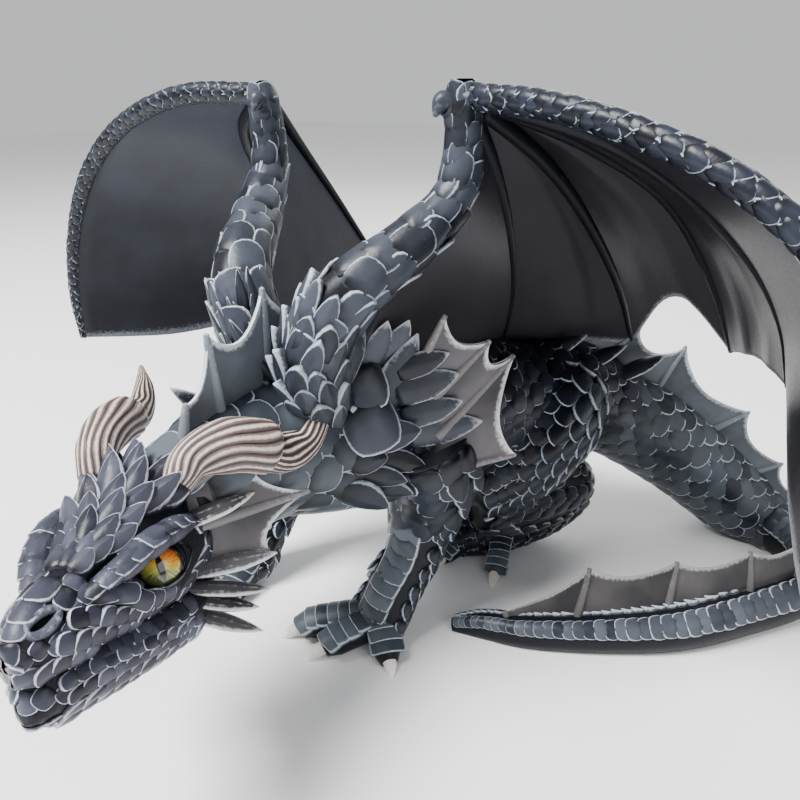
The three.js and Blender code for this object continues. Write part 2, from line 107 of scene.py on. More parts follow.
def curve(points, t):
    # the smooth line through the points that the casting's own lofts follow
    p = np.asarray(points, float)
    n = len(p)
    p = np.vstack([2 * p[0] - p[1], p, 2 * p[-1] - p[-2]])
    x = np.clip(np.asarray(t, float), 0, 1) * (n - 1)
    k = np.minimum(x.astype(int), n - 2)
    w = (x - k)[..., None]
    a, b, c, d = p[k], p[k + 1], p[k + 2], p[k + 3]
    ab, bc, cd = [np.maximum(((q - r) ** 2).sum(-1, keepdims=True) ** 0.25, 1e-3) for q,
                  r in ((a, b), (b, c), (c, d))]
    m1 = ((b - a) / ab - (c - a) / (ab + bc) + (c - b) / bc) * bc
    m2 = ((c - b) / bc - (d - b) / (bc + cd) + (d - c) / cd) * bc
    return b + m1 * w + (3 * (c - b) - 2 * m1 - m2) * w ** 2 + (2 * (b - c) + m1 + m2) * w ** 3


def tubeSurface(stations, up=(0, 0, 1), section=None, head=False):
    # stations are x, y, z, half width, half height; gives a function of t along and angle a round
    rows = np.array([(list(s) + [s[3]])[:5] for s in stations], float)

    def at(t, a):
        t, a = np.broadcast_arrays(np.asarray(t, float), np.asarray(a, float))
        centre = curve(rows[:, :3], t)
        before = curve(rows[:, :3], np.maximum(t - 1e-3, 0))
        ahead = unitRow(curve(rows[:, :3], np.minimum(t + 1e-3, 1)) - before)
        side = unitRow(np.cross(ahead, np.array(up, float)))
        top = np.cross(side, ahead)
        girth = curve(rows[:, 3:], t)
        x, z = section(a, t) if section else (np.cos(a), np.sin(a))
        p = centre + side * (x * girth[..., 0])[..., None] + top * (z * girth[..., 1])[..., None]
        return onHead(p) if head else p
    return at


# the points stay a tenth of a millimetre inside the box of the solids
boxLow, boxHigh = np.array(cadBox[0]) + (1e-4, 1e-4, 0), np.array(cadBox[1]) - 1e-4


class Piece:
    # gathers the points, faces and paint masks of one piece of the statue; the edge mask also carries
    # painted shade where it runs below zero
    def __init__(self, name):
        self.name, self.points, self.faces, self.edge, self.tint, self.count = name, [], [], [], [], 0

    def add(self, points, faces, edge=0.0, tint=0.5):
        points = np.asarray(points, float).reshape(-1, 3)
        self.faces.append(np.asarray(faces, int) + self.count)
        self.points.append(points)
        self.edge.append(np.broadcast_to(edge, (len(points),)).astype(float))
        self.tint.append(np.broadcast_to(tint, (len(points),)).astype(float))
        self.count += len(points)

    def build(self, material, slot="resin"):
        points = toFrame(np.vstack(self.points))
        points = np.clip(points, boxLow, boxHigh)
        polys = [list(map(int, f)) for block in self.faces for f in block]
        mesh = bpy.data.meshes.new(self.name)
        mesh.from_pydata(points.tolist(), [], polys)
        for name, values in (("edge", self.edge), ("tint", self.tint)):
            mask = mesh.attributes.new(name, "FLOAT", "POINT")
            mask.data.foreach_set("value", np.concatenate(values).astype(np.float32))
        mesh.polygons.foreach_set("use_smooth", [True] * len(polys))
        mesh.materials.append(material)
        mesh.update()
        piece = bpy.data.objects.new(self.name, mesh)
        bpy.context.scene.collection.objects.link(piece)
        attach(piece, "root")
        print(f"{self.name}: {sum(len(p) - 2 for p in polys)} triangles")
        return piece


def gridFaces(rows, columns, closed=True, ends=True):
    # quads over a grid; a closed grid is a tube and gets its two ends
    i, j = np.meshgrid(np.arange(rows - 1), np.arange(columns if closed else columns - 1), indexing="ij")
    a, b = i * columns + j, i * columns + (j + 1) % columns
    quads = np.stack([a, b, b + columns, a + columns], -1).reshape(-1, 4).tolist()
    if closed and ends:
        quads.append(list(range(columns))[::-1])
        quads.append([(rows - 1) * columns + k for k in range(columns)])
    return quads


def addTube(piece, at, sides=24, steps=40, edge=None, tint=0.5, fromT=0.0, toT=1.0):
    t = np.linspace(fromT, toT, steps + 1)[:, None]
    a = np.linspace(0, tau, sides, endpoint=False)[None, :]
    mask = 0.0 if edge is None else np.broadcast_to(edge(t, a), (steps + 1, sides)).ravel()
    points = at(t, a).reshape(-1, 3)
    faces = gridFaces(steps + 1, sides)
    piece.add(points, faces[:-2], mask, tint)
    piece.faces.append(np.array(faces[-2:]) + piece.count - len(points))


# scales
outlines = {
    # half width at each share of the length, from the root to the tip
    "round": [0.55, 0.86, 1.0, 0.98, 0.84, 0.55, 0.0],
    "leaf": [0.5, 0.82, 1.0, 0.92, 0.66, 0.34, 0.0],
    "spike": [0.7, 0.95, 0.9, 0.66, 0.42, 0.2, 0.0],
    "block": [0.86, 0.98, 1.0, 1.0, 0.99, 0.9, 0.0],
}
atShares = [0.0, 0.16, 0.38, 0.6, 0.8, 0.94, 1.0]


def plateShape(outline, segments=7):
    # one flat plate: rings of points from the middle out to the rim, and a skirt below it
    shares = np.sin(np.linspace(0, 1, segments) * math.pi / 2)
    half = np.interp(shares, atShares, outlines[outline])
    if outline in ("round", "block"):
        half = np.sqrt(np.maximum(half, 0)) ** 1.2
        half[-1] = 0.0
    left = [(-h, y) for h, y in zip(half[:-1], shares[:-1])]
    right = [(h, y) for h, y in zip(half[:-1], shares[:-1])][::-1]
    rim = np.array(left + [(0.0, 1.0)] + right)
    middle = np.array([0.0, 0.45])
    rings = [middle[None], middle + (rim - middle) * 0.55, middle + (rim - middle) * 0.88, rim, rim]
    n = len(rim)
    faces = [[0, 1 + k, 1 + (k + 1) % n] for k in range(n)]
    for ring in range(3):
        for k in range(n):
            a, b = 1 + ring * n + k, 1 + ring * n + (k + 1) % n
            faces += [[a, a + n, b + n], [a, b + n, b]]
    ringOf = np.concatenate([[0]] + [[r] * n for r in (1, 2, 3, 4)])
    return np.vstack(rings), np.array(faces), ringOf


def addScales(piece, spots, outline="round", dome=0.12, keel=0.0, lift=0.14, thick=0.06, flare=0.0,
              segments=7, bright=1.0, jitter=0.08, sink=0.35):
    # spots: place, normal, aim, width, length and bend radius of each plate
    if not len(spots["place"]):
        return
    flat, faces, ring = plateShape(outline, segments)
    place, normal, aim = [np.asarray(spots[k], float) for k in ("place", "normal", "aim")]
    n = len(place)
    wide = np.broadcast_to(spots["width"], (n,)) * scattered(n, jitter)
    long = np.broadcast_to(spots["length"], (n,)) * scattered(n, jitter)
    bend = np.broadcast_to(spots["bend"], (n,))
    normal = unitRow(normal)
    aim = unitRow(aim - normal * (aim * normal).sum(1, keepdims=True))
    side = np.cross(aim, normal)
    turn = jitter * 1.2 * dice.uniform(-1, 1, n)[:, None]
    aim, side = aim * np.cos(turn) + side * np.sin(turn), side * np.cos(turn) - aim * np.sin(turn)
    x = flat[:, 0] * wide[:, None] / 2
    y = (flat[:, 1] - 0.3) * long[:, None]
    s = np.abs(flat[:, 0])[None]
    rise = dome * wide[:, None] * (1 - s ** 2) * np.minimum(1, 1.6 * (1.02 - flat[:, 1]))[None]
    rise = rise + keel * wide[:, None] * np.maximum(0, 1 - 2.2 * s) ** 1.5 * (flat[:, 1] > 0.1)
    rise = rise * np.array([1.0, 1.0, 0.9, 0.0, 0.0])[ring][None]
    tip = (lift * flat[:, 1][None] + flare * flat[:, 1][None] ** 3) * long[:, None]
    tip = tip * scattered(n, 3 * jitter)[:, None]
    curl = x ** 2 / (2 * np.maximum(bend, wide * 0.45))[:, None]
    z = thick * wide[:, None] + tip + rise - curl
    z = np.where(ring[None] == 4, -curl - sink, z)
    points = place[:, None] + side[:, None] * x[..., None]
    points = points + aim[:, None] * y[..., None] + normal[:, None] * z[..., None]
    m = len(flat)
    allFaces = (faces[None] + (np.arange(n) * m)[:, None, None]).reshape(-1, 3)
    mask = np.array([0.22, 0.16, 0.0, 1.0, 0.0])[ring]
    rootFade = np.clip(flat[:, 1] * 3.0, 0.15, 1)
    # painted shade: each plate darkens towards its root, where the plate above overlaps it
    shade = np.where(mask < 0.9, 0.75 * np.clip(1 - flat[:, 1] * 1.35, 0, 1) ** 1.5, 0)
    edge = np.broadcast_to(mask * rootFade * bright - shade, (n, m)).ravel()
    tint = np.repeat(dice.uniform(0, 1, n), m)
    piece.add(points.reshape(-1, 3), allFaces, edge, tint)


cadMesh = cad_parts["dragon"].data
cadTree = BVHTree.FromPolygons([v.co.copy() for v in cadMesh.vertices],
                               [tuple(p.vertices) for p in cadMesh.polygons])


def offSkin(points):
    # how far each point is from the casting's own surface, in millimetres of the pose
    spots = toFrame(points)
    return np.array([cadTree.find_nearest(Vector(p))[3] for p in spots]) * 1000 / unit


def seat(at, t, a, aimSign=1.0):
    # place, normal and lengthwise direction of points on a tube
    e = 2e-3
    place = at(t, a)
    along = at(np.minimum(t + e, 1), a) - at(np.maximum(t - e, 0), a)
    around = at(t, a + 0.02) - at(t, a - 0.02)
    normal = unitRow(np.cross(around, along))
    middle = (at(t, a) + at(t, a + math.pi)) / 2
    normal = normal * np.sign(((place - middle) * normal).sum(-1, keepdims=True))
    return place, normal, unitRow(along) * aimSign


def rowSpots(at, width, length, fromT=0.0, toT=1.0, fromA=0.0, toA=tau, overlap=0.62, gap=0.9, aimSign=1.0,
             reach=1.8, least=2):
    # rows of plates round a tube, each row half a plate further round than the last
    t = np.linspace(fromT, toT, 300)
    middle = (at(t, 0.0) + at(t, math.pi)) / 2
    run = np.concatenate([[0], np.cumsum(np.linalg.norm(np.diff(middle, axis=0), axis=1))])
    spots = {k: [] for k in ("place", "normal", "aim", "width", "length", "bend")}
    s, row = 0.0, 0
    while s <= run[-1]:
        share = s / run[-1]
        here = np.interp(s, run, t)
        w, l = graded(width, share), graded(length, share)
        ring = at(np.full(25, here), np.linspace(fromA, toA, 25))
        around = np.linalg.norm(np.diff(ring, axis=0), axis=1).sum()
        count = max(least, int(round(around / (w * gap))))
        stagger = 0.25 + 0.5 * (row % 2) if count > 1 else 0.5
        a = fromA + (np.arange(count) + stagger) / count * (toA - fromA)
        place, normal, aim = seat(at, np.full(count, here), a, aimSign)
        keep = offSkin(place) < reach
        for key, values in (("place", place), ("normal", normal), ("aim", aim)):
            spots[key].append(values[keep])
        for key, value in (("width", w), ("length", l), ("bend", around / (toA - fromA))):
            spots[key].append(np.full(keep.sum(), value))
        s += l * overlap
        row += 1
    return {k: np.concatenate(v) for k, v in spots.items()}


def pickSpots(spots, keep):
    # the spots that a mask keeps
    return {k: v[keep] for k, v in spots.items()}


print("ground work done")

# trunk, neck and tail
trunk = {"stations": [
    (-14, -140, 112, 17, 18), (-17, -118, 113, 20, 23), (-19, -92, 113, 24, 26), (-16, -55, 108, 32, 33),
    (-12, -25, 104, 35, 36), (0, 20, 98, 32, 33), (10, 48, 95, 29, 29), (19, 72, 92, 30, 29),
    (32, 92, 84, 24, 26), (43, 105, 75, 22, 23.5), (60, 120, 62, 21.5, 23), (82, 134, 43.5, 20.5, 21.5),
    (106, 144, 24, 19.5, 19.5), (128, 146, 14, 14.5, 14.5), (149, 132, 11.5, 12.5, 12.5),
    (157, 110, 11, 11.5, 12), (150, 88, 11, 11, 12), (136, 64, 10.5, 10.5, 11.5), (114, 33, 9.6, 10, 10.6),
    (88, 10, 8.4, 8.8, 9.4), (57, -11, 7, 7.2, 8), (38, -19, 5.8, 5.4, 6.6), (26, -25, 4, 2.6, 3.6)],
    "neckPlate": (15, 17), "bodyPlate": (11, 13), "leafSpan": (2.6, 4.1), "neckEnd": 2.6, "hipEnd": 8.5,
    "groundEnd": 13.2}
trunkSkin = tubeSurface(trunk["stations"])
body = Piece("body_scales")
skin = Piece("body_skin")
addTube(skin, trunkSkin, 40, 260)

last = len(trunk["stations"]) - 1
neckEnd, hipEnd, groundEnd = trunk["neckEnd"] / last, trunk["hipEnd"] / last, trunk["groundEnd"] / last
leafStart, leafEnd = trunk["leafSpan"][0] / last, trunk["leafSpan"][1] / last
neck = Piece("neck_scales")
spots = rowSpots(trunkSkin, *trunk["neckPlate"], 0.0, neckEnd, overlap=0.6)
addScales(neck, spots, "round", dome=0.1, lift=0.1, thick=0.05, jitter=0.14, segments=8)
spots = rowSpots(trunkSkin, *trunk["bodyPlate"], neckEnd, hipEnd, overlap=0.6, reach=2.8)
addScales(body, spots, "round", dome=0.1, lift=0.09, thick=0.05, jitter=0.14, segments=8)
# long loose leaves over the shoulders
spots = rowSpots(trunkSkin, 12, 18, leafStart, leafEnd, fromA=-0.6, toA=math.pi + 0.6, overlap=0.42,
                 gap=1.2, reach=4.5)
addScales(body, spots, "leaf", dome=0.1, keel=0.06, lift=0.28, thick=0.06, flare=0.08, jitter=0.24)
tail = Piece("tail_scales")
spots = rowSpots(trunkSkin, [13, 15, 14, 12], [14, 15, 14, 12], hipEnd, groundEnd, overlap=0.52)
addScales(tail, spots, "round", dome=0.07, lift=0.1, thick=0.05, jitter=0.07, segments=8)
# the lying tail: one row of round plates on each side, smooth between them
for fromA, toA in ((0.12 * math.pi, 0.42 * math.pi), (0.58 * math.pi, 0.88 * math.pi)):
    spots = rowSpots(trunkSkin, [15, 14, 13, 11, 8, 5], [12, 11.5, 11, 9.5, 8, 5], groundEnd, 0.985,
                     fromA=fromA, toA=toA, overlap=0.55, gap=3, least=1)
    addScales(tail, spots, "round", dome=0.14, lift=0.16, thick=0.08, jitter=0.05, segments=8)

# legs
forwardUp = (0, -1, 0.2)
legs = {
    "foreLeft": [(16, -34, 108, 18, 23), (17, -27, 88, 16, 19), (9.6, -25, 66, 15, 16),
                 (8, -32, 45, 11.5, 12.4), (4, -43, 27, 11.4, 11), (1, -50, 14, 13, 9.6),
                 (-1, -54, 9, 10, 6)],
    "foreRight": [(-42, -34, 108, 18, 23), (-58, -26, 90, 14, 18), (-68, -26, 68, 11.5, 13),
                  (-74, -38, 46, 10.5, 11.5), (-78, -50, 28, 10.6, 10.6), (-80, -57, 14, 12, 9.6),
                  (-81, -61, 9, 9, 6)],
    "hindLeft": [
        [(24, 84, 94, 15, 19), (32, 64, 88, 20, 27), (31, 42, 76, 17, 24), (23, 22, 63, 14, 20),
         (17, 8, 57, 10, 14)],
        [(18, 12, 52, 12, 16), (27, 42, 46, 15, 20), (33, 68, 40, 14, 18), (36, 82, 36, 10, 13)],
        [(36, 84, 34, 9, 13), (26, 70, 24, 12, 15), (14, 53, 17, 12, 14), (0, 36, 12, 11, 11),
         (-11, 24, 9, 8, 7)]],
    "hindRight": [
        [(-8, 90, 94, 15, 19), (-22, 76, 86, 18, 25), (-34, 54, 74, 15, 20), (-36, 36, 60, 11, 14),
         (-36, 28, 55, 7, 8)],
        [(-36, 36, 56, 10, 11), (-33, 56, 44, 10, 12), (-31, 76, 33, 9, 10)],
        [(-31, 80, 33, 8, 9), (-31, 66, 25, 9, 10), (-31, 48, 17, 10, 10), (-30, 32, 10, 10, 8),
         (-30, 26, 7, 8, 6)]],
    "toeRadius": 6.8, "hindToeRadius": 5.2, "clawRadius": 3.5, "clawArch": 1.0}
legPiece = Piece("leg_scales")
scutes = Piece("leg_scutes")
for name in ("foreLeft", "foreRight"):
    leg = tubeSurface(legs[name], forwardUp)
    addTube(skin, leg, 32, 60)
    spots = rowSpots(leg, [12, 11, 9, 8, 8], [14, 12, 9, 8, 7], 0.05, 0.97, overlap=0.55)
    front = spots["normal"][:, 1] < -0.35
    addScales(legPiece, pickSpots(spots, ~front), "leaf", dome=0.13, keel=0.04, lift=0.24, thick=0.06,
              jitter=0.14)
    spots = rowSpots(leg, [14, 13], [14, 13], 0.05, 0.4, overlap=0.62)
    front = spots["normal"][:, 1] < -0.2
    addScales(legPiece, pickSpots(spots, front), "round", dome=0.12, lift=0.1, thick=0.05, jitter=0.06,
              segments=8)
    # one column of broad scutes down the front
    spots = rowSpots(leg, [17, 16, 15, 15, 17], [13, 12, 11.5, 10, 9], 0.34, 0.99, fromA=math.pi / 2 - 0.7,
                     toA=math.pi / 2 + 0.7, overlap=0.62, gap=9, least=1, reach=4)
    addScales(scutes, spots, "block", dome=0.06, lift=0.1, thick=0.04, jitter=0.03, segments=9)
for name in ("hindLeft", "hindRight"):
    thigh, shank, foot = [tubeSurface(s) for s in legs[name]]
    for part in (thigh, shank, foot):
        addTube(skin, part, 32, 40)
    spots = rowSpots(thigh, [12, 12, 10, 9], [13, 13, 11, 9], 0.0, 0.98, overlap=0.56, reach=3.6)
    addScales(legPiece, spots, "round", dome=0.12, lift=0.1, thick=0.05, jitter=0.12, segments=8)
    spots = rowSpots(shank, [10, 10, 9], [10, 10, 9], 0.02, 0.98, overlap=0.55)
    addScales(legPiece, spots, "round", dome=0.14, lift=0.14, thick=0.06, jitter=0.08)
    spots = rowSpots(foot, [9, 9, 8, 7], [9, 8, 7, 6], 0.02, 0.98, overlap=0.55)
    addScales(legPiece, spots, "round", dome=0.16, lift=0.14, thick=0.06, jitter=0.08)

claws = Piece("claws")


def toe(root, end, tip, radius):
    # a banded toe that rests on the ground, and its claw
    end, tip = np.array(end, float), np.array(tip, float)
    out = unitRow(tip - end)
    heel, nose = end - out * radius * 0.2, end + out * radius * 0.75
    skinRound = tubeSurface([(*root, radius * 1.15), (*heel, radius), (*nose, radius * 0.6)])
    addTube(skin, skinRound, 20, 24)
    spots = rowSpots(skinRound, radius * 2.3, radius * 1.35, 0.0, 0.8, fromA=0.1, toA=math.pi - 0.1,
                     overlap=0.6, gap=9, least=1, reach=2.8)
    addScales(scutes, spots, "block", dome=0.02, lift=0.1, thick=0.04, jitter=0.03, segments=9)
    quick = end + (tip - end) * 0.55 + np.array([0, 0, legs["clawArch"]])
    r = legs["clawRadius"]
    late = end + (tip - end) * 0.82
    claw = tubeSurface([(*end, r), (*quick, r * 0.86), (*late, r * 0.5), (*tip, 0.3)])
    addTube(claws, claw, 16, 20, edge=lambda t, a: t)


fore = legs["toeRadius"]
hind = legs["hindToeRadius"]
toes = [((-4, -53, 12), (-25.5, -69, 6.4), (-34.5, -80, 1.6), fore),
        ((-1, -56, 11), (-9.2, -71, 6.4), (-15.3, -84, 1.4), fore),
        ((4, -52, 11), (14, -60, 6.2), (22.9, -67, 1), fore),
        ((-85, -60, 11), (-102, -70, 6.4), (-112, -78, 1.6), fore),
        ((-82, -64, 11), (-89, -79, 6.4), (-94, -92, 1.6), fore),
        ((-77, -62, 11), (-74, -77, 6.2), (-72, -89, 1.6), fore),
        ((13, 44, 16), (21.6, 24, 7), (25, 13, 0.8), hind),
        ((-2, 33, 9.6), (-7, 17, 4.9), (-8, 5, 1.4), hind),
        ((-7, 36, 8.3), (-20, 28, 4.9), (-29, 20, 1.2), hind),
        ((-28, 36, 9.4), (-24, 24, 4.9), (-21, 12, 1.4), hind),
        ((-32, 33, 8.8), (-34, 20, 4.8), (-35, 8, 1.4), hind)]
for root, end, tip, radius in toes:
    toe(root, end, tip, radius)
print("body, tail and legs laid")

# head
# rows are forward, top, bottom, half width on the head's own axes
head = {
    "skull": [(53, 0, -9, 3), (50.5, 4.6, -11, 6.2), (46, 9, -11.5, 8.4), (40, 11.5, -12, 10.4),
              (30, 13, -13.5, 12.6), (20, 16, -15.5, 16.4), (10, 18.5, -17, 18.8), (0, 20.5, -18, 20.4),
              (-10, 21.5, -18, 20), (-20, 20, -16, 17.5), (-32, 15, -13, 13)],
    "jaw": [(48.5, -14, -23, 2), (45, -9, -25, 5), (38, -9, -25.5, 9), (25, -10, -28, 13.2),
            (8, -12, -31.5, 17.6), (-6, -12, -33, 20), (-18, -8, -27, 18), (-30, -6, -17, 13)],
    "lips": [(51, -5, -19, 3.4), (48.5, -5, -21, 6.4), (45, -5, -22, 8.6), (38, -6, -23, 10.8),
             (30, -6, -24, 13), (20, -7, -26, 16), (8, -9, -28, 18.8), (-4, -10, -29, 20),
             (-16, -9, -24, 18.5)],
    # the brow ridge: x, y, z, radius, with the snout towards -y
    "brow": [(9, -32, 8, 2), (13, -25, 10, 3.6), (16.4, -14, 12.6, 4.2), (18.4, -3, 12, 3.8),
             (18.5, 8, 9, 1.5)],
    # rows of scales: points x, forward, z; then pitch, width across the row, outline
    "rows": [
        ([(9.5, 34, 7.6), (13.5, 26.5, 3.5), (16.7, 21.8, -1.2), (19.3, 15, -4.6), (20, 6, -6.4),
          (20.4, -2, -6.4), (20.6, -9, -4)],
         5.6, 5.6, "block"),
        ([(11, 41, 5.5), (12.2, 34.4, 1.6), (14, 29.9, -2), (16.3, 19.5, -7), (18, 10, -9.6),
          (19.5, 2, -11), (19.8, -6, -10.5)],
         4.8, 6.0, "round"),
        ([(9.5, 46, 1), (11.3, 40, -2), (12.6, 33.6, -5), (14.2, 25, -8.8), (16.5, 14.5, -12.6),
          (18.6, 5.1, -15), (19, -3, -16)],
         4.8, 6.0, "round"),
        ([(8.8, 47.5, -4.6), (10.5, 41, -6.6), (11, 34.4, -9), (12.2, 27, -11.8), (13.5, 19, -14.6),
          (16, 11, -16.6), (18, 2, -19.4)],
         4.6, 5.6, "round"),
        ([(8.6, 46, -10), (10.6, 40, -10.6), (12.4, 33, -12.4), (14.2, 25, -14.6), (16.6, 16, -17.4),
          (18.6, 6, -20.6), (19.6, -4, -23)],
         4.4, 4.6, "round"),
        ([(8, 45, -14.6), (10.4, 38.6, -15.4), (12.6, 31, -17), (14.8, 23, -19), (17, 13, -21.8),
          (18.8, 4, -24.6), (19.4, -6, -27)],
         4.6, 4.8, "round"),
        ([(6.4, 44.6, -19.4), (9.4, 38, -20), (11.6, 30, -21.6), (14, 20, -23.8), (16, 10, -26.4),
          (17.4, 0, -29.4), (17, -8, -30)],
         5.0, 5.6, "round"),
        ([(3.4, 44, -23), (7, 37, -24), (10, 28, -26), (12, 17, -28), (13, 6, -30.6), (13, -6, -32)], 5.4,
         6.4, "round"),
        ([(20.6, -12, 4), (21, -13, -3), (20.6, -13, -10), (20, -12, -18)], 5.6, 6.4, "leaf")]}


def headTube(rows):
    stations = [(0, -f, (t + b) / 2, w, (t - b) / 2) for f, t, b, w in rows]
    return tubeSurface(stations, section=skullSection, head=True)


def skullSection(a, t):
    # a rounded square, narrower at the top
    rise = np.sin(a)
    square = (np.abs(np.cos(a)) ** 2.2 + np.abs(rise) ** 2.2) ** (-1 / 2.2)
    return np.cos(a) * square * (1 - 0.24 * np.maximum(0, rise)), rise * square


skullSkin = headTube(head["skull"])
jawSkin = headTube(head["jaw"])
headSkin = Piece("head_skin")
addTube(headSkin, skullSkin, 150, 170)
addTube(headSkin, jawSkin, 72, 90)
addTube(headSkin, headTube(head["lips"]), 72, 90)


def skinTree():
    # the head's skin as it is now, to seat things on
    points = [Vector(p) for p in toFrame(np.vstack(headSkin.points))]
    return BVHTree.FromPolygons(points, [tuple(map(int, f)) for block in headSkin.faces for f in block])


headTree = skinTree()


def snap(points):
    # nearest place and normal on the skull and jaw
    found = [headTree.find_nearest(Vector(p)) for p in toFrame(onHead(points))]
    middle = onHead(np.array([(0, p[1] * 0.85, -8) for p in np.atleast_2d(points)]))
    place = toPose(np.array([f[0] for f in found]))
    normal = np.array([f[1] for f in found])
    return place, normal * np.sign(((place - middle) * normal).sum(1, keepdims=True))


def lineSpots(line, pitch, width, turn=0.0):
    # plates along a line on the head; aim is along the line, turned by an angle over the surface
    line = np.array(line, float)
    fine = curve(line, np.linspace(0, 1, 200))
    run = np.concatenate([[0], np.cumsum(np.linalg.norm(np.diff(fine, axis=0), axis=1))])
    count = max(1, int(round(run[-1] / pitch)))
    at = (np.arange(count) + 0.5) / count * run[-1]

    def along(s):
        return np.stack([np.interp(s, run, fine[:, k]) for k in range(3)], 1)

    place, normal = snap(along(at))
    aim = unitRow((along(at + 0.5) - along(at - 0.5)) @ headAxes.T)
    across = np.cross(normal, aim)
    aim = aim * math.cos(turn) + across * math.sin(turn)
    n = len(place)
    return {"place": place, "normal": normal, "aim": aim, "width": np.full(n, width),
            "length": np.full(n, pitch * 1.5), "bend": np.full(n, 14.0)}


def flipped(points, side):
    # head axes are x, forward, z in the lists above
    return [(side * x, -f, z) for x, f, z in points]


headScales = Piece("head_scales")
for side in (1, -1):
    for line, pitch, wide, outline in head["rows"]:
        spots = lineSpots(flipped(line, side), pitch, wide, math.pi if outline == "round" else 0.0)
        addScales(headScales, spots, outline, dome=0.18, lift=0.13, thick=0.07, jitter=0.07)
head["bend"] = 9.0
# leaves over the forehead, from the snout up to the horns: forward, offsets, length, width, lift
head["leaves"] = [(33, (0, 6.5), 8.5, 7.5, 0.12), (28.5, (3.4, 9.2), 9, 7.0, 0.2),
                  (23, (0, 6.6, 11.5), 11, 7.2, 0.3), (17, (3.6, 10), 13, 7.6, 0.4),
                  (10.5, (0, 7.2), 14, 8.4, 0.46), (3.5, (3.8, 11), 14.5, 8.4, 0.52),
                  (-4, (0, 7.8, 13), 14.5, 8.8, 0.56), (-12, (4.2, 10.5), 14, 8.8, 0.6),
                  (-20, (0, 8), 13, 9, 0.5)]
for forward, offsets, length, wide, lift in head["leaves"]:
    across = [sign * x for x in offsets for sign in ((1, -1) if x else (1,))]
    points = [(x, -forward, 26 - 0.35 * abs(x)) for x in across]
    place, normal = snap(points)
    aim = np.array([(0.035 * p[0], 1.0, 0.1) for p in points]) @ headAxes.T
    spots = {"place": place, "normal": normal, "aim": aim, "width": wide, "length": length,
             "bend": head["bend"]}
    addScales(headScales, spots, "leaf", dome=0.1, keel=0.07, lift=lift, thick=0.1, flare=0.05, jitter=0.1,
              segments=8)
# rounded plates of the snout and lips: x, forward, z, width, length
head["plates"] = [(0, 50, 8, 7, 6), (0, 44.5, 10, 7.5, 9), (0, 38, 12, 8.5, 10), (6.4, 38, 10.5, 6, 6.4),
                  (5.4, 33.2, 12, 5.6, 5.4), (9.4, 33.4, 9.5, 5.6, 6.2), (10.6, 37.6, 6.4, 4.6, 4.8),
                  (12, 30.4, 8.6, 6.6, 6.6), (3, 53, 1.6, 5.2, 5.6), (3.4, 52, -4.4, 6.6, 8),
                  (7.2, 48.6, -4.6, 6.4, 8), (8.4, 46, 2, 5, 5.4), (5.6, 49.6, 2.6, 5, 5), (0, 54, 4, 6, 6),
                  (0, 54, -2, 6, 6), (0, 53, -7, 6, 6), (3.4, 51, -8.4, 5.4, 5), (2.8, 50.4, -15.6, 5.6, 6),
                  (0, 51, -12, 6, 6), (0, 50.6, -17, 6, 6), (0, 49, -21, 6, 6), (3.6, 47.4, -22, 6, 6),
                  (3, 43, -24.6, 6.4, 7), (0, 44, -25, 6, 7), (6.6, 41, -23.6, 6, 7),
                  (4, 49, -12, 5.6, 5.6), (7.4, 45.6, -12.6, 5, 5.6), (2.6, 48, -17.6, 6, 7),
                  (6, 45, -18.4, 6, 6.6), (0, 46.6, -21.6, 6.4, 6.6), (10.4, 42.6, 3.4, 4.8, 4.8),
                  (17.6, 22.5, 4.5, 5, 5), (20.6, -12, 8, 6, 7)]
for x, forward, z, wide, length in head["plates"]:
    for side in ((1, -1) if x else (1,)):
        place, normal = snap([(side * x, -forward, z)])
        aim = np.array([(0.1 * side, -1.0, -0.3)]) @ headAxes.T
        spots = {"place": place, "normal": normal, "aim": aim, "width": wide, "length": length,
                 "bend": head["bend"]}
        addScales(headScales, spots, "round", dome=0.14, lift=0.05, thick=0.06, jitter=0.05, segments=8)
# nostril: the two ends of its ring, half width, thickness of the ring, depth
nostril = {"ends": ((2.9, 50.6, 6.4), (9.4, 43.9, 11.0)), "half": 2.7, "ring": 1.25, "depth": 3.2}


def addNostril(side):
    # the ring lies on the snout, and the skin inside it is pressed in
    ends = onHead(flipped(nostril["ends"], side))
    middle, reach = ends.mean(0), np.linalg.norm(ends[1] - ends[0]) / 2
    _, normal = snap([((middle - headAt) @ headAxes)])
    longAxis = unitRow(ends[1] - ends[0])
    shortAxis = unitRow(np.cross(normal[0], longAxis))
    loop = np.linspace(0, tau, 29)
    outline = middle + np.outer(np.cos(loop) * reach, longAxis)
    outline = outline + np.outer(np.sin(loop) * nostril["half"], shortAxis)
    seated, _ = snap((outline - headAt) @ headAxes)
    girth = nostril["ring"] * (0.8 + 0.3 * np.abs(np.sin(loop)))
    ring = tubeSurface([(*p, g) for p, g in zip(seated, girth)], normal[0])
    addTube(headScales, ring, 12, 70, edge=lambda t, a: 0.42 * np.clip(np.sin(a), 0, 1) + 0 * t, tint=0.8)
    for block in headSkin.points:
        away = block - middle
        near = (away @ longAxis / reach) ** 2 + (away @ shortAxis / nostril["half"]) ** 2
        near = np.where(np.linalg.norm(away, axis=1) < reach * 1.3, near, 9.0)
        block -= normal[0] * (nostril["depth"] * np.clip(1 - near, 0, 1) ** 0.6)[:, None]


for side in (1, -1):
    addNostril(side)
print("head laid")


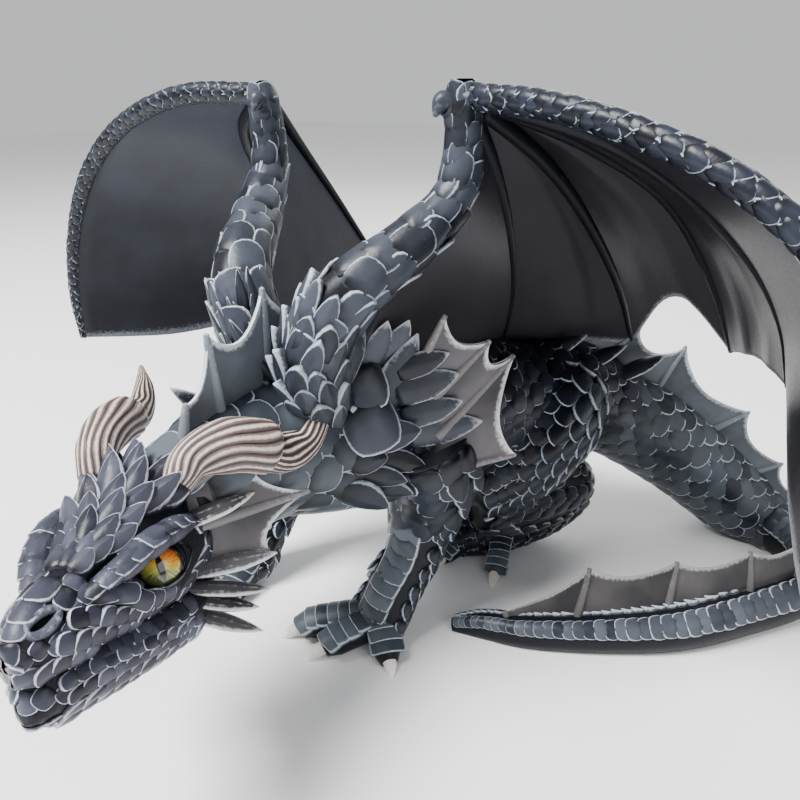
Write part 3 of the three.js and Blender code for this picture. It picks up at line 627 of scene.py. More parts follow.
def addLeaf(piece, base, tip, width, depth, face=(0, 0, 1), head=False, sides=12, steps=10, hook=0.0,
            streaks=0):
    # a pointed leaf or thorn, wide across its face
    base, tip = np.array(base, float), np.array(tip, float)
    middle = (base + tip) / 2 + unitRow(np.array(face, float)) * hook * np.linalg.norm(tip - base)
    late = middle * 0.35 + tip * 0.65
    stations = [(*base, width * 0.75, depth * 0.75),
                (*(base * 0.5 + middle * 0.5), width * 0.96, depth * 0.95), (*middle, width * 0.98, depth),
                (*late, width * 0.52, depth * 0.62), (*tip, width * 0.06, depth * 0.08)]

    def lens(a, t):
        rib = 1 - 0.1 * (1 - np.abs(np.sin(a * streaks + 2 * t)) ** 0.7) if streaks else 1
        return np.cos(a) * rib, np.sin(a) * (0.45 + 0.55 * np.abs(np.sin(a)) ** 1.5) * rib

    def rimMask(t, a):
        rim = np.clip(np.abs(np.cos(a)) ** 8 + t ** 5, 0, 1) * np.minimum(1, t * 4)
        streak = 0.5 * np.abs(np.sin(a * streaks + 2 * t)) ** 3 * np.minimum(1, t * 3)
        return np.maximum(rim, streak) if streaks else rim

    addTube(piece, tubeSurface(stations, face, lens, head), sides, steps,
            edge=rimMask, tint=dice.uniform(0, 1))


def addSheet(piece, rows, thickness, edge, tint):
    # a closed skin over a grid of points
    rows = np.asarray(rows, float)
    down = np.gradient(rows, axis=0)
    across = np.gradient(rows, axis=1)
    normal = unitRow(np.cross(down, across))
    n, m = rows.shape[:2]
    half = n * m
    front, back = rows + normal * thickness[..., None] / 2, rows - normal * thickness[..., None] / 2
    quads = gridFaces(n, m, closed=False)
    faces = quads + [[half + v for v in q[::-1]] for q in quads]
    rim = [(i * m, (i + 1) * m) for i in range(n - 1)]
    rim += [((n - 1) * m + j, (n - 1) * m + j + 1) for j in range(m - 1)]
    rim += [(i * m + m - 1, (i - 1) * m + m - 1) for i in range(n - 1, 0, -1)]
    rim += [(j, j - 1) for j in range(m - 1, 0, -1)]
    faces += [[b, a, half + a, half + b] for a, b in rim]
    piece.add(np.vstack([front.reshape(-1, 3), back.reshape(-1, 3)]), faces, np.tile(edge.ravel(), 2),
              np.tile(tint.ravel(), 2))


# crests: radius of a spine, columns between two spines, rows, thickness of the skin
web = {"spine": 2.4, "parts": 10, "levels": 9, "thin": 1.3}


def addWeb(piece, roots, tips, hollow, place=None):
    # a crest: a skin from a line of roots to a line of spine tips, hollow between the spines
    spine, parts, levels = web["spine"], web["parts"], web["levels"]
    roots, tips = np.array(roots, float), np.array(tips, float)
    spans = len(tips) - 1
    u = np.linspace(0, spans, spans * parts + 1)
    foot = curve(roots, u / spans)
    span = np.minimum(u.astype(int), spans - 1)
    share = (u - span)[:, None]
    edge = tips[span] * (1 - share) + tips[span + 1] * share
    edge = edge + (foot - edge) * hollow * np.sin(math.pi * share) ** 0.8
    v = np.linspace(0, 1, levels)[None, :, None]
    rows = foot[:, None] * (1 - v) + edge[:, None] * v
    normal = unitRow(np.cross(np.gradient(rows, axis=0), np.gradient(rows, axis=1)))
    fold = np.sin(math.pi * share[:, None, 0:1]) * v
    rows = rows + normal * fold * 0.5
    if place:
        rows = place(rows)
    rim = np.broadcast_to(np.clip((v[..., 0] - 0.86) / 0.14, 0, 1), rows.shape[:2])
    addSheet(piece, rows, np.full(rows.shape[:2], web["thin"]), rim,
             np.broadcast_to(share, rows.shape[:2]) * 0.5)
    for k in range(spans + 1):
        base, tip = rows[k * parts, 0], rows[k * parts, -1]
        mid = rows[k * parts, levels // 2]
        over = tip + unitRow(tip - mid) * 0.4
        run = [(*base, spine), (*mid, spine * 0.8), (*tip, spine * 0.42), (*over, 0.15)]
        addTube(piece, tubeSurface(run, (0.3, 0.9, 0.3)), 10, 14, edge=lambda t, a: 0.05 + 0.5 * t,
                tint=0.8)


# wings
wings = {
    "wrist": (47, -44, 238), "crown": (47.5, -46, 240.2), "armTop": 0.985, "leadingRoot": 0.04,
    # offset from the midline, y, z, half width, half height
    "arm": [(5, -68, 116, 11, 12), (13, -84, 148, 11.5, 12), (24, -83, 173, 10, 11), (37.5, -62, 191, 8, 9),
            (45.5, -46, 207, 6, 7), (47, -43.5, 224, 5.6, 6.4), (47, -45, 236, 5.4, 6),
            (47.5, -46, 241, 3, 3.6)],
    "spur": [(46, -45, 232, 4.4), (43.6, -51, 236, 3.6), (42.6, -54, 232, 0.8)],
    "fingers": [
        [(46, -45, 212), (36, -62, 188), (24, -72, 160), (14, -60, 132)],
        [(44, -20, 216), (37, 8, 186), (27, 32, 152), (14, 44, 112)],
        [(56, -4, 216), (60, 32, 190), (62, 74, 152), (60, 107, 116)],
        [(66, 6, 222), (84, 60, 195), (98, 104, 150), (104, 134, 113)],
        [(88, -12, 222), (120, 44, 182), (134, 73, 148), (140, 86, 118)]],
    "leading": {1: [(90, -53, 234), (135, -58, 220), (165, -61, 197), (185, -63, 163), (193, -62, 122),
                    (190, -58, 84)],
                -1: [(91, -53, 237), (136, -58, 221), (166, -61, 195), (185, -63, 160), (194, -62, 132),
                     (197, -60, 110)]},
    "sheetGrid": (16, 44), "swing": (0, 20, 22, 19, 8), "hollows": (0, 0.04, 0.22, 0.03, 0),
    "bows": (0, 6, 8, 8, 14), "lobe": {1: 30, -1: 13},
    "finger": (3.4, 1.6), "leadingRadius": 4.8, "skin": 1.6,
    "ropeScale": {1: [6, 7, 7.5, 7, 5], -1: [5.5, 5.5, 5.5, 5, 4.5]}}
wingSkin = {1: Piece("wing_skin_left"), -1: Piece("wing_skin_right")}
fingerSkin = Piece("wing_fingers")
hornPiece = Piece("horns")
wingScales = Piece("wing_scales")
armScales = Piece("arm_scales")


def wingLines(side):
    # the lines of the fingers and of the leading edge, from the wrist
    wrist = np.array(wings["wrist"], float)
    lines = []
    for k, finger in enumerate(wings["fingers"]):
        points = np.array([wings["wrist"], *finger], float)
        turn = 0 if side > 0 else math.radians(wings["swing"][k])
        away = points[:, :2] - wrist[:2]
        points[:, 0] = wrist[0] + away[:, 0] * math.cos(turn) + away[:, 1] * math.sin(turn)
        points[:, 1] = wrist[1] + away[:, 1] * math.cos(turn) - away[:, 0] * math.sin(turn)
        lines.append(points)
    lines.append(np.array([wings["wrist"], *wings["leading"][side]], float))
    for points in lines:
        points[:, 0] = pose["midline"] + side * points[:, 0]
    return lines


def offside(stations, side):
    # the first number of each station is its distance from the midline
    return [(pose["midline"] + side * s[0], *s[1:]) for s in stations]


def wingSheet(side, lines):
    # the skin from line to line, bowed between the fingers, with soft folds that run down from the wrist
    spans = len(lines) - 1
    perSpan, levels = wings["sheetGrid"]
    shares = np.linspace(0, 1, perSpan, endpoint=False)
    columns = [(k, t) for k in range(spans) for t in shares] + [(spans - 1, 1.0)]
    down = np.linspace(0.03, 1, levels)
    grid = np.zeros((levels, len(columns), 3))
    for j, (k, t) in enumerate(columns):
        swell = math.sin(math.pi * t)
        s = down * (1 - wings["hollows"][k] * swell)
        spot = curve(lines[k], s) * (1 - t) + curve(lines[k + 1], s) * t
        spot[:, 1] += wings["bows"][k] * swell * np.sin(math.pi * np.minimum(1, s * 0.8))
        if k == spans - 1:
            spot[:, 2] -= wings["lobe"][side] * swell * s ** 4
        fold = np.sin(tau * (2.3 * t + 0.16 * np.sin(4 * s + k))) * s ** 1.6 * swell
        spot[:, 1] += 1.1 * fold + 0.5 * np.sin(tau * (5 * t + 0.3 * s)) * s ** 2 * swell
        grid[:, j] = spot
    rim = np.zeros(grid.shape[:2])
    rim[-1] = 1.0
    rim[-2] = 0.4
    # the tint mask runs from the wrist down to the wing's edge, and the membrane paints grade their painted
    # light along it
    addSheet(wingSkin[side], grid, np.full(rim.shape, wings["skin"]), rim,
             np.broadcast_to(down[:, None], rim.shape))


def wingRods(side, lines):
    # the fingers, and the leading edge with its row of scales
    for points in lines[1:-1]:
        t = np.linspace(0.05, 1, 12)
        run = curve(points, t)
        girth = np.interp(t, [0, 1], wings["finger"])
        rod = tubeSurface([(*p, g * 0.92) for p, g in zip(run, girth)], (side, 0.3, 0.2))
        addTube(fingerSkin, rod, 16, 60, edge=lambda t, a: 0.2 * t, tint=0.3)
    t = np.linspace(0, 1, len(lines[-1]))
    girth = wings["leadingRadius"] + (wings["finger"][1] - wings["leadingRadius"]) * t ** 2
    leading = tubeSurface([(*p, g * 0.86) for p, g in zip(lines[-1], girth * 0.86)], (side, 0.3, 0.2))
    addTube(fingerSkin, leading, 20, 90, tint=0.3, fromT=wings["leadingRoot"])
    size = wings["ropeScale"][side]
    spots = rowSpots(leading, size, size, 0.02, 0.99, overlap=0.5, reach=3.0)
    addScales(wingScales, spots, "leaf", dome=0.1, lift=0.06, thick=0.03, jitter=0.14)


def wingArm(side):
    # flat plates up the arm, fainter towards the wrist, and long leaves or strands at its root
    arm = tubeSurface(offside(wings["arm"], side), forwardUp)
    addTube(skin, arm, 32, 70, toT=wings["armTop"])
    spots = rowSpots(arm, [14, 13.5, 13, 11], [15, 15, 14, 12], 0.2, 0.62, overlap=0.6, reach=3.4)
    addScales(armScales, spots, "round", dome=0.07, lift=0.05, thick=0.035, jitter=0.16, segments=8)
    spots = rowSpots(arm, [10, 8.5, 8], [12, 10, 9], 0.6, 0.97, overlap=0.62, reach=3.4)
    addScales(armScales, spots, "round", dome=0.06, lift=0.03, thick=0.02, jitter=0.14, bright=0.75)
    if side > 0:
        spots = rowSpots(arm, 8.5, 19, 0.0, 0.3, overlap=0.4, gap=1.0, reach=3.4)
        addScales(armScales, spots, "leaf", dome=0.1, keel=0.06, lift=0.11, thick=0.04, flare=0.03,
                  jitter=0.18)
    else:
        spots = rowSpots(arm, 4.4, 17, 0.04, 0.27, overlap=0.45, gap=0.8, reach=3.4)
        addScales(armScales, spots, "spike", dome=0.25, lift=0.06, thick=0.1, jitter=0.2)
    addTube(armScales, tubeSurface(offside(wings["spur"], side), forwardUp), 14, 16, edge=lambda t,
            a: t * 0.4)


for side in (1, -1):
    lines = wingLines(side)
    wingSheet(side, lines)
    wingRods(side, lines)
    wingArm(side)
print("wings spread")

# crests, frills and mane
crestSkin = Piece("crest_skin")
tailFin = Piece("tail_fin")
addWeb(crestSkin, [(-14, -132, 128), (-15, -114, 134), (-17, -90, 136), (-16, -58, 138)],
       [(-14, -128, 146), (-14, -117, 167), (-14, -92, 177), (-14, -60, 177)], 0.3)
addWeb(crestSkin, [(6, 52, 120), (20, 76, 116), (34, 94, 104), (58, 118, 80), (84, 134, 60), (108, 144, 38),
                   (130, 148, 22)],
       [(8, 56, 130), (24, 84, 136), (52, 106, 125), (71, 127, 113), (105, 148, 76), (126, 156, 47),
        (142, 152, 30)], 0.3)
addWeb(tailFin, [(158, 112, 18), (150, 88, 18), (136, 64, 17), (108, 30, 15), (76, 2, 12), (50, -14, 9)],
       [(160, 112, 30), (150, 94, 40), (131, 70, 39), (106, 42, 38), (75, 15, 36), (48, -14, 16)], 0.2)
frillSkin = Piece("frill_skin")
for side in (1, -1):
    roots = offside([(30, -50, 134), (36, -44, 128), (38, -42, 112), (36, -46, 96)], side)
    tips = offside([(42, -44, 164), (52, -28, 152), (54, -12, 142), (58, -12, 98)], side)
    addWeb(frillSkin, roots, tips, 0.2)
mane = Piece("mane")
thorns = Piece("cheek_thorns")
for side in (1, -1):
    for base, tip, width in [((18, -80, 140), (26, -72, 168), 7), ((22, -60, 122), (34, -50, 157), 8),
                             ((30, -46, 120), (48, -20, 132), 7), ((32, -44, 106), (48, -18, 112), 7)]:
        base, tip = offside([base, tip], side)
        addLeaf(mane, base, tip, width, 2.4, (side, -0.4, 0.3))
for t in (0, 0.5, 1):
    for side in (1, -1):
        start = (10 + 30 * t + side * 7, 62 + 34 * t - side * 4, 114 - 14 * t)
        addLeaf(mane, start, (start[0] + 14 + side * 6, start[1] + 15, start[2] + 13), 5, 2.2,
                (0.2, -0.5, 0.8))
shoulder = {
    "rounds": [((8, -68, 140.5), (0.6, -0.72, 0.3), (0.1, 0.3, -0.95), 20, 18),
               ((14, -70, 128), (0.7, -0.6, 0.35), (0.1, 0.3, -0.95), 22, 20)],
    "leaves": [((8, -62, 143), (17.5, -62, 164), 5.6), ((3, -62, 141), (13.5, -66, 163), 5.4),
               ((11, -57, 143), (21, -54, 163), 5.6), ((17, -56, 133), (33, -38, 140), 6.4),
               ((16, -52, 114), (38, -27, 117), 7), ((18, -54, 122), (34, -36, 128), 5.6),
               ((17, -56, 142), (31, -42, 149), 5)]}
for side in (1, -1):
    flip = np.array([side, 1, 1])
    middle = np.array([pose["midline"] * (1 - side), 0, 0])
    for place, normal, aim, wide, length in shoulder["rounds"]:
        spots = {"place": [np.array(place) * flip + middle], "normal": [np.array(normal) * flip],
                 "aim": [np.array(aim) * flip], "width": wide, "length": length, "bend": 22.0}
        addScales(mane, spots, "round", dome=0.1, lift=0.12, thick=0.05, jitter=0.03, segments=10, sink=4)
    for base, tip, width in shoulder["leaves"]:
        addLeaf(mane, np.array(base) * flip + middle, np.array(tip) * flip + middle, width, 1.8,
                (side, -0.5, 0.2), sides=14, steps=12)
addLeaf(mane, (-30, -98, 118), (-47, -112, 138), 5, 2.4, (0.5, -0.8, 0.3), hook=-0.16)

# horns, brow, eyes and thorns
horns = {
    "left": [(14, 7, 21, 5), (16, 13, 26.5, 6.5), (23.2, 24, 28, 9.4), (31.6, 35, 24, 9.8),
             (34, 38.5, 22, 6)],
    "leftEnd": [(31, 34, 22.5, 7), (37, 42, 19.8, 7.2), (42, 49.5, 21, 6), (46, 56, 28, 4),
                (49.5, 62, 38.5, 0.8)],
    "right": [(-14, 7, 21, 5), (-16.3, 13.5, 28, 6.5), (-19.9, 27, 30.5, 8), (-22.6, 41, 29.5, 8.4),
              (-23.5, 45, 29, 5.5)],
    "rightEnd": [(-22, 40, 29, 6), (-24, 50, 27.5, 6), (-25.5, 58, 29, 5), (-28, 65, 34, 3.8),
                 (-32, 71.5, 41, 0.8)],
    "grooves": 17, "grooveDepth": 0.09}


def grooveWave(a, t):
    # wavy grooves that run up the horn
    return np.abs(np.sin(a * horns["grooves"] / 2 + 1.3 * np.sin(5 * t + a) + 0.8 * np.sin(11 * t + 2 * a)))


def grooved(a, t):
    wave = grooveWave(a, t) ** 0.6
    r = 1 - horns["grooveDepth"] + horns["grooveDepth"] * wave
    return np.cos(a) * r, np.sin(a) * r


def grooveMask(t, a):
    # pale paint on the ridges between the grooves, and painted shade down in the grooves where the mask
    # runs below zero
    wave = grooveWave(a, t)
    return 1.1 * wave ** 3 - 0.5 * (1 - wave) ** 3 - 0.12


for name in ("left", "leftEnd", "right", "rightEnd"):
    horn = tubeSurface(horns[name], section=grooved, head=True)
    addTube(hornPiece, horn, 136, 40, edge=grooveMask, tint=0.2 if "End" in name else 0.9)


def banded(a, t):
    # the brow swells between its five creases
    swell = 0.8 + 0.22 * np.abs(np.sin(math.pi * (t * 5))) ** 0.3
    return np.cos(a) * swell, np.sin(a) * swell


def bandMask(t, a):
    # pale paint on the rims of the bands, and painted shade in the five creases
    rim = np.clip(1 - np.abs(np.sin(math.pi * (t * 5 + 0.04))) * 7, 0, 1)
    crease = np.clip(1 - np.abs(np.sin(math.pi * (t * 5 - 0.04))) * 5, 0, 1)
    return 0.9 * rim - 0.7 * crease + 0 * a


for side in (1, -1):
    flip = [(side * x, y, z, r) for x, y, z, r in head["brow"]]
    addTube(headScales, tubeSurface(flip, section=banded, head=True), 24, 70, edge=bandMask)
    browSkin = tubeSurface([(x, y, z, r * 0.82) for x, y, z, r in flip], head=True)
    spots = rowSpots(browSkin, [7, 9, 9, 8, 6], [7, 8, 8, 7, 6], 0.04, 0.97, fromA=-0.9, toA=math.pi + 0.9,
                     overlap=0.66, gap=1.3, aimSign=-1, reach=4, least=1)
    addScales(headScales, spots, "block", dome=0.05, lift=0.03, thick=0.02, jitter=0.05, bright=0.8)
    for base, tip, width, depth in [((14.5, 3, 9), (31.4, 26, 11), 5, 2.6),
                                    ((14, 6, -9), (38, 26, -11), 6, 3),
                                    ((13, 6, -15), (36, 22, -23), 4.6, 2.6),
                                    ((13, 6, -19), (33, 19, -28.5), 4.6, 2.6),
                                    ((12, 6, -24), (33, 20.5, -39), 5.4, 2.4)]:
        addLeaf(thorns, (side * base[0], *base[1:]), (side * tip[0], *tip[1:]), width, depth,
                (0.2 * side, 0.1, 1), head=True, sides=36, steps=24, streaks=6)
    addWeb(frillSkin, [(side * x, y, z) for x, y, z in ((15, 9, 19), (16, 9, 10), (16, 9, 0), (15, 9, -9))],
           [(side * x, y, z) for x, y, z in ((27, 30, 24), (45, 42, 5.5), (35, 26, -10))], 0.22,
           place=onHead)

# glass eyes with a slit pupil; the opening is measured across and up from the ball's middle
eyes = {"gaze": (0.5, -0.73, 0.47), "along": (0.902, 0.270, 0.338), "ballGrid": (72, 96),
        "lidGrid": (11, 45),
        "upper": [(-13.2, 1.2), (-6, 3.8), (0, 5.3), (3.8, 5.6), (7.5, 4.4), (10.2, 1.2)],
        "lower": [(-13.2, 1.2), (-8.4, -3.4), (-3.7, -5.4), (3, -5.0), (7.5, -2.6), (10.2, 1.2)],
        "lidReach": 3.4, "lidLift": 0.9, "hollowHalf": (12.0, 6.2), "hollowShift": -1.2, "hollowRise": 12.0,
        "gap": 0.7, "slope": 0.9}
lids = Piece("eyelids")
ballRadius = pose["eyeRadius"]


def eyeAxes(side):
    # the ball's middle and its gaze, long and up axes on the head
    flip = np.array([side, 1, 1])
    gaze = unitRow(np.array(eyes["gaze"])) * flip
    longAxis = np.array(eyes["along"])
    longAxis = unitRow(longAxis - np.array(eyes["gaze"]) * (longAxis @ np.array(eyes["gaze"]))) * flip
    longAxis = unitRow(longAxis - gaze * (longAxis @ gaze))
    return np.array(pose["eyeSpot"]) * flip, gaze, longAxis, np.cross(gaze, longAxis) * side


def hollowSkull(centre, gaze, longAxis, upAxis):
    # presses the skull in round the ball
    for k, block in enumerate(headSkin.points):
        away = (block - headAt) @ headAxes - centre
        x, y, deep = away @ longAxis, away @ upAxis, away @ gaze
        r = np.hypot(x, y)
        bowl = np.sqrt(np.maximum(ballRadius ** 2 - r ** 2, 0)) - eyes["gap"]
        floorAt = np.where(r < ballRadius, bowl, (r - ballRadius) * eyes["slope"] - eyes["gap"])
        rho = np.hypot((x - eyes["hollowShift"]) / eyes["hollowHalf"][0], y / eyes["hollowHalf"][1])
        floorAt = floorAt + np.maximum(rho - 1, 0) * eyes["hollowRise"]
        drop = np.where((deep > 0) & (rho < 2), np.maximum(deep - floorAt, 0), 0)
        headSkin.points[k] = onHead(centre + away - gaze * drop[:, None])


def glassBall(name, centre, gaze, longAxis, upAxis):
    # its masks carry the place on the ball that the iris is drawn by
    ballRows, ballColumns = eyes["ballGrid"]
    polar = np.linspace(0.002, math.pi, ballRows)[:, None, None]
    turn = np.linspace(0, tau, ballColumns, endpoint=False)[None, :, None]
    u, v = np.sin(polar) * np.cos(turn), np.sin(polar) * np.sin(turn)
    way = gaze * np.cos(polar) + longAxis * u + upAxis * v
    piece = Piece(name)
    piece.add(onHead(centre + way * ballRadius), gridFaces(ballRows, ballColumns, ends=False), u.ravel(),
              v.ravel())
    return piece


def addLids(centre, gaze, longAxis, upAxis):
    # an upper and a lower lid that lie on the ball and run out over the hollowed skull
    tree = skinTree()

    def surfaceDepth(x, y):
        # height of the ball or the hollowed skull over the ball's middle plane
        start = onHead(centre + longAxis * x + upAxis * y + gaze * 30)
        ahead = toFrame(start - (gaze @ headAxes.T)) - toFrame(start)
        found = tree.ray_cast(Vector(toFrame(start)), Vector(ahead).normalized())
        skull = 30 - found[3] * 1000 / unit if found[0] is not None else -3
        return max(skull, math.sqrt(max(ballRadius ** 2 - x * x - y * y, 0)))

    lidRows, lidColumns = eyes["lidGrid"]
    bow = np.sin(np.linspace(0, 1, lidColumns) * math.pi) ** 0.4
    for sign, name in ((1, "upper"), (-1, "lower")):
        rimLine = curve([(x, y, 0) for x, y in eyes[name]], np.linspace(0, 1, lidColumns))
        rows = []
        for w in np.linspace(0, 1, lidRows):
            ys = rimLine[:, 1] + sign * w * eyes["lidReach"] * bow
            lift = eyes["lidLift"] * (1 - w) ** 0.5 * (0.25 + 0.75 * bow) + 0.15
            rows.append([onHead(centre + longAxis * x + upAxis * y + gaze * (surfaceDepth(x, y) + rise))
                         for x, y, rise in zip(rimLine[:, 0], ys, lift)])
        rim = np.zeros(eyes["lidGrid"])
        rim[1:3] = 0.8 if sign < 0 else 0.3
        addSheet(lids, rows, np.full(rim.shape, 0.7), rim, np.full(rim.shape, 0.4))


eyePieces = {}
for side, name in ((1, "eye_left"), (-1, "eye_right")):
    axes = eyeAxes(side)
    hollowSkull(*axes)
    eyePieces[name] = glassBall(name.replace("eye", "eye_glass"), *axes)
    addLids(*axes)
print("horns, frills and eyes set")

# paint
def node(tree, kind, inputs=None, **settings):
    # a node with its settings; each input is given a value or the socket it is linked to
    made = tree.nodes.new(kind)
    for name, value in settings.items():
        setattr(made, name, value)
    for name, value in (inputs or {}).items():
        if isinstance(value, bpy.types.NodeSocket):
            tree.links.new(value, made.inputs[name])
        else:
            made.inputs[name].default_value = value
    return made


def maths(tree, operation, *terms):
    # each term is a number or a socket
    return node(tree, "ShaderNodeMath", dict(enumerate(terms)), operation=operation).outputs[0]


def mixed(tree, share, first, second):
    inputs = {"Factor": share, "A": first, "B": second}
    return node(tree, "ShaderNodeMix", inputs, data_type="RGBA").outputs["Result"]


def ranged(tree, value, low, high, toLow=0.0, toHigh=1.0, shape="LINEAR"):
    inputs = {"Value": value, "From Min": low, "From Max": high, "To Min": toLow, "To Max": toHigh}
    return node(tree, "ShaderNodeMapRange", inputs, interpolation_type=shape).outputs["Result"]


def attribute(tree, name):
    return node(tree, "ShaderNodeAttribute", attribute_name=name).outputs["Fac"]


def grain(tree, place, scale, detail):
    inputs = {"Vector": place, "Scale": scale, "Detail": detail}
    return node(tree, "ShaderNodeTexNoise", inputs).outputs["Fac"]


def dryBrushAndShadeGroup():
    # painted resin: pale paint dragged over the rims, and painted shade that darkens the colour where the
    # edge mask runs below zero, in the hollows at the plates' roots, in the grooves and in the creases
    group = bpy.data.node_groups.new("dryBrushAndShade", "ShaderNodeTree")
    for name in ("Base", "Second", "Rim"):
        group.interface.new_socket(name=name, in_out="INPUT", socket_type="NodeSocketColor")
    for name in ("Edge", "Tint", "Rim strength"):
        group.interface.new_socket(name=name, in_out="INPUT", socket_type="NodeSocketFloat")
    for name, kind in (("Color", "NodeSocketColor"), ("Roughness", "NodeSocketFloat"),
                       ("Height", "NodeSocketFloat")):
        group.interface.new_socket(name=name, in_out="OUTPUT", socket_type=kind)
    given = group.nodes.new("NodeGroupInput").outputs
    where = node(group, "ShaderNodeTexCoord").outputs["Object"]
    broad = grain(group, where, 55.0, 3.0)
    fine = grain(group, where, 700.0, 4.0)
    patch = ranged(group, maths(group, "ADD", given["Tint"], broad), 0.5, 1.4)
    wash = mixed(group, patch, given["Base"], given["Second"])
    # painted shade: the colour is darkened where the edge mask runs below zero
    hollow = ranged(group, given["Edge"], -0.6, 0.0, 0.08)
    shadedWash = node(group, "ShaderNodeVectorMath", {0: wash, "Scale": hollow}, operation="SCALE").outputs[0]
    worn = maths(group, "MULTIPLY_ADD", fine, 0.9, given["Edge"])
    grip = ranged(group, worn, 0.72, 1.35, shape="SMOOTHSTEP")
    force = maths(group, "MULTIPLY", grip, given["Rim strength"])
    node(group, "NodeGroupOutput", {"Color": mixed(group, force, shadedWash, given["Rim"]),
                                    "Roughness": ranged(group, fine, 0.0, 1.0, 0.28, 0.5), "Height": fine})
    return group


dryBrushAndShade = dryBrushAndShadeGroup()


def paint(name, base, second, rim, rimStrength, coat=0.06, gloss=0.22):
    material = bpy.data.materials.new(name)
    material.use_nodes = True
    tree = material.node_tree
    shader = tree.nodes["Principled BSDF"]
    shader.inputs["Coat Weight"].default_value = coat
    shader.inputs["Specular IOR Level"].default_value = gloss
    shader.inputs["Coat Roughness"].default_value = 0.25
    brush = node(tree, "ShaderNodeGroup", node_tree=dryBrushAndShade)
    for socket, colour in (("Base", base), ("Second", second), ("Rim", rim)):
        brush.inputs[socket].default_value = (*colour, 1)
    brush.inputs["Rim strength"].default_value = rimStrength
    for mask, socket in (("edge", "Edge"), ("tint", "Tint")):
        tree.links.new(attribute(tree, mask), brush.inputs[socket])
    inputs = {"Strength": 0.25, "Distance": 0.0004, "Height": brush.outputs["Height"]}
    relief = node(tree, "ShaderNodeBump", inputs)
    tree.links.new(relief.outputs["Normal"], shader.inputs["Normal"])
    tree.links.new(brush.outputs["Color"], shader.inputs["Base Color"])
    tree.links.new(brush.outputs["Roughness"], shader.inputs["Roughness"])
    return material


# wash, second wash, rim, rim strength
paints = {
    "bodyPaint": ((0.003, 0.004, 0.008), (0.014, 0.018, 0.03), (0.4, 0.46, 0.54), 0.85),
    "neckPaint": ((0.012, 0.016, 0.023), (0.075, 0.09, 0.108), (0.5, 0.55, 0.6), 0.85),
    "tailPaint": ((0.012, 0.015, 0.023), (0.07, 0.082, 0.1), (0.5, 0.54, 0.6), 0.85),
    "headPaint": ((0.009, 0.0098, 0.017), (0.055, 0.058, 0.083), (0.6, 0.62, 0.7), 0.85),
    "armPaint": ((0.007, 0.009, 0.015), (0.045, 0.053, 0.07), (0.48, 0.53, 0.6), 0.7),
    "scutePaint": ((0.014, 0.019, 0.026), (0.075, 0.092, 0.11), (0.48, 0.55, 0.6), 0.75),
    "manePaint": ((0.008, 0.01, 0.016), (0.045, 0.05, 0.066), (0.5, 0.53, 0.58), 0.85),
    "ivory": ((0.6, 0.53, 0.47), (0.76, 0.71, 0.66), (0.9, 0.88, 0.84), 0.85),
    "hornPaint": ((0.06, 0.042, 0.038), (0.15, 0.11, 0.1), (0.62, 0.54, 0.49), 0.9),
    "thornPaint": ((0.02, 0.02, 0.025), (0.1, 0.1, 0.108), (0.7, 0.69, 0.69), 0.9),
    "frillPaint": ((0.04, 0.037, 0.042), (0.17, 0.16, 0.165), (0.7, 0.7, 0.71), 0.85),
    "finPaint": ((0.022, 0.021, 0.023), (0.105, 0.098, 0.096), (0.5, 0.49, 0.48), 0.85),
    "crestPaint": ((0.04, 0.046, 0.057), (0.16, 0.185, 0.212), (0.7, 0.74, 0.78), 0.85),
    # painted light: the right wing's membrane is a lighter, bluer copy of the left wing's, lighter at the
    # wrist and darker down the wing
    "membraneRight": ((0.03, 0.036, 0.054), (0.012, 0.013, 0.018), (0.4, 0.44, 0.5), 0.6)}
made = {name: paint(name, *colours) for name, colours in paints.items()}
made["darkSkin"] = paint("darkSkin", (0.004, 0.0045, 0.007), (0.009, 0.01, 0.014), (0.2, 0.22, 0.26), 0.3,
                         0.0, 0.15)
# the left wing's membrane: near black, a little lighter down the wing, the shaded copy of the right wing's
made["membraneLeft"] = paint("membraneLeft", (0.011, 0.01, 0.014), (0.021, 0.018, 0.023), (0.3, 0.31, 0.34),
                             0.7, 0.12)


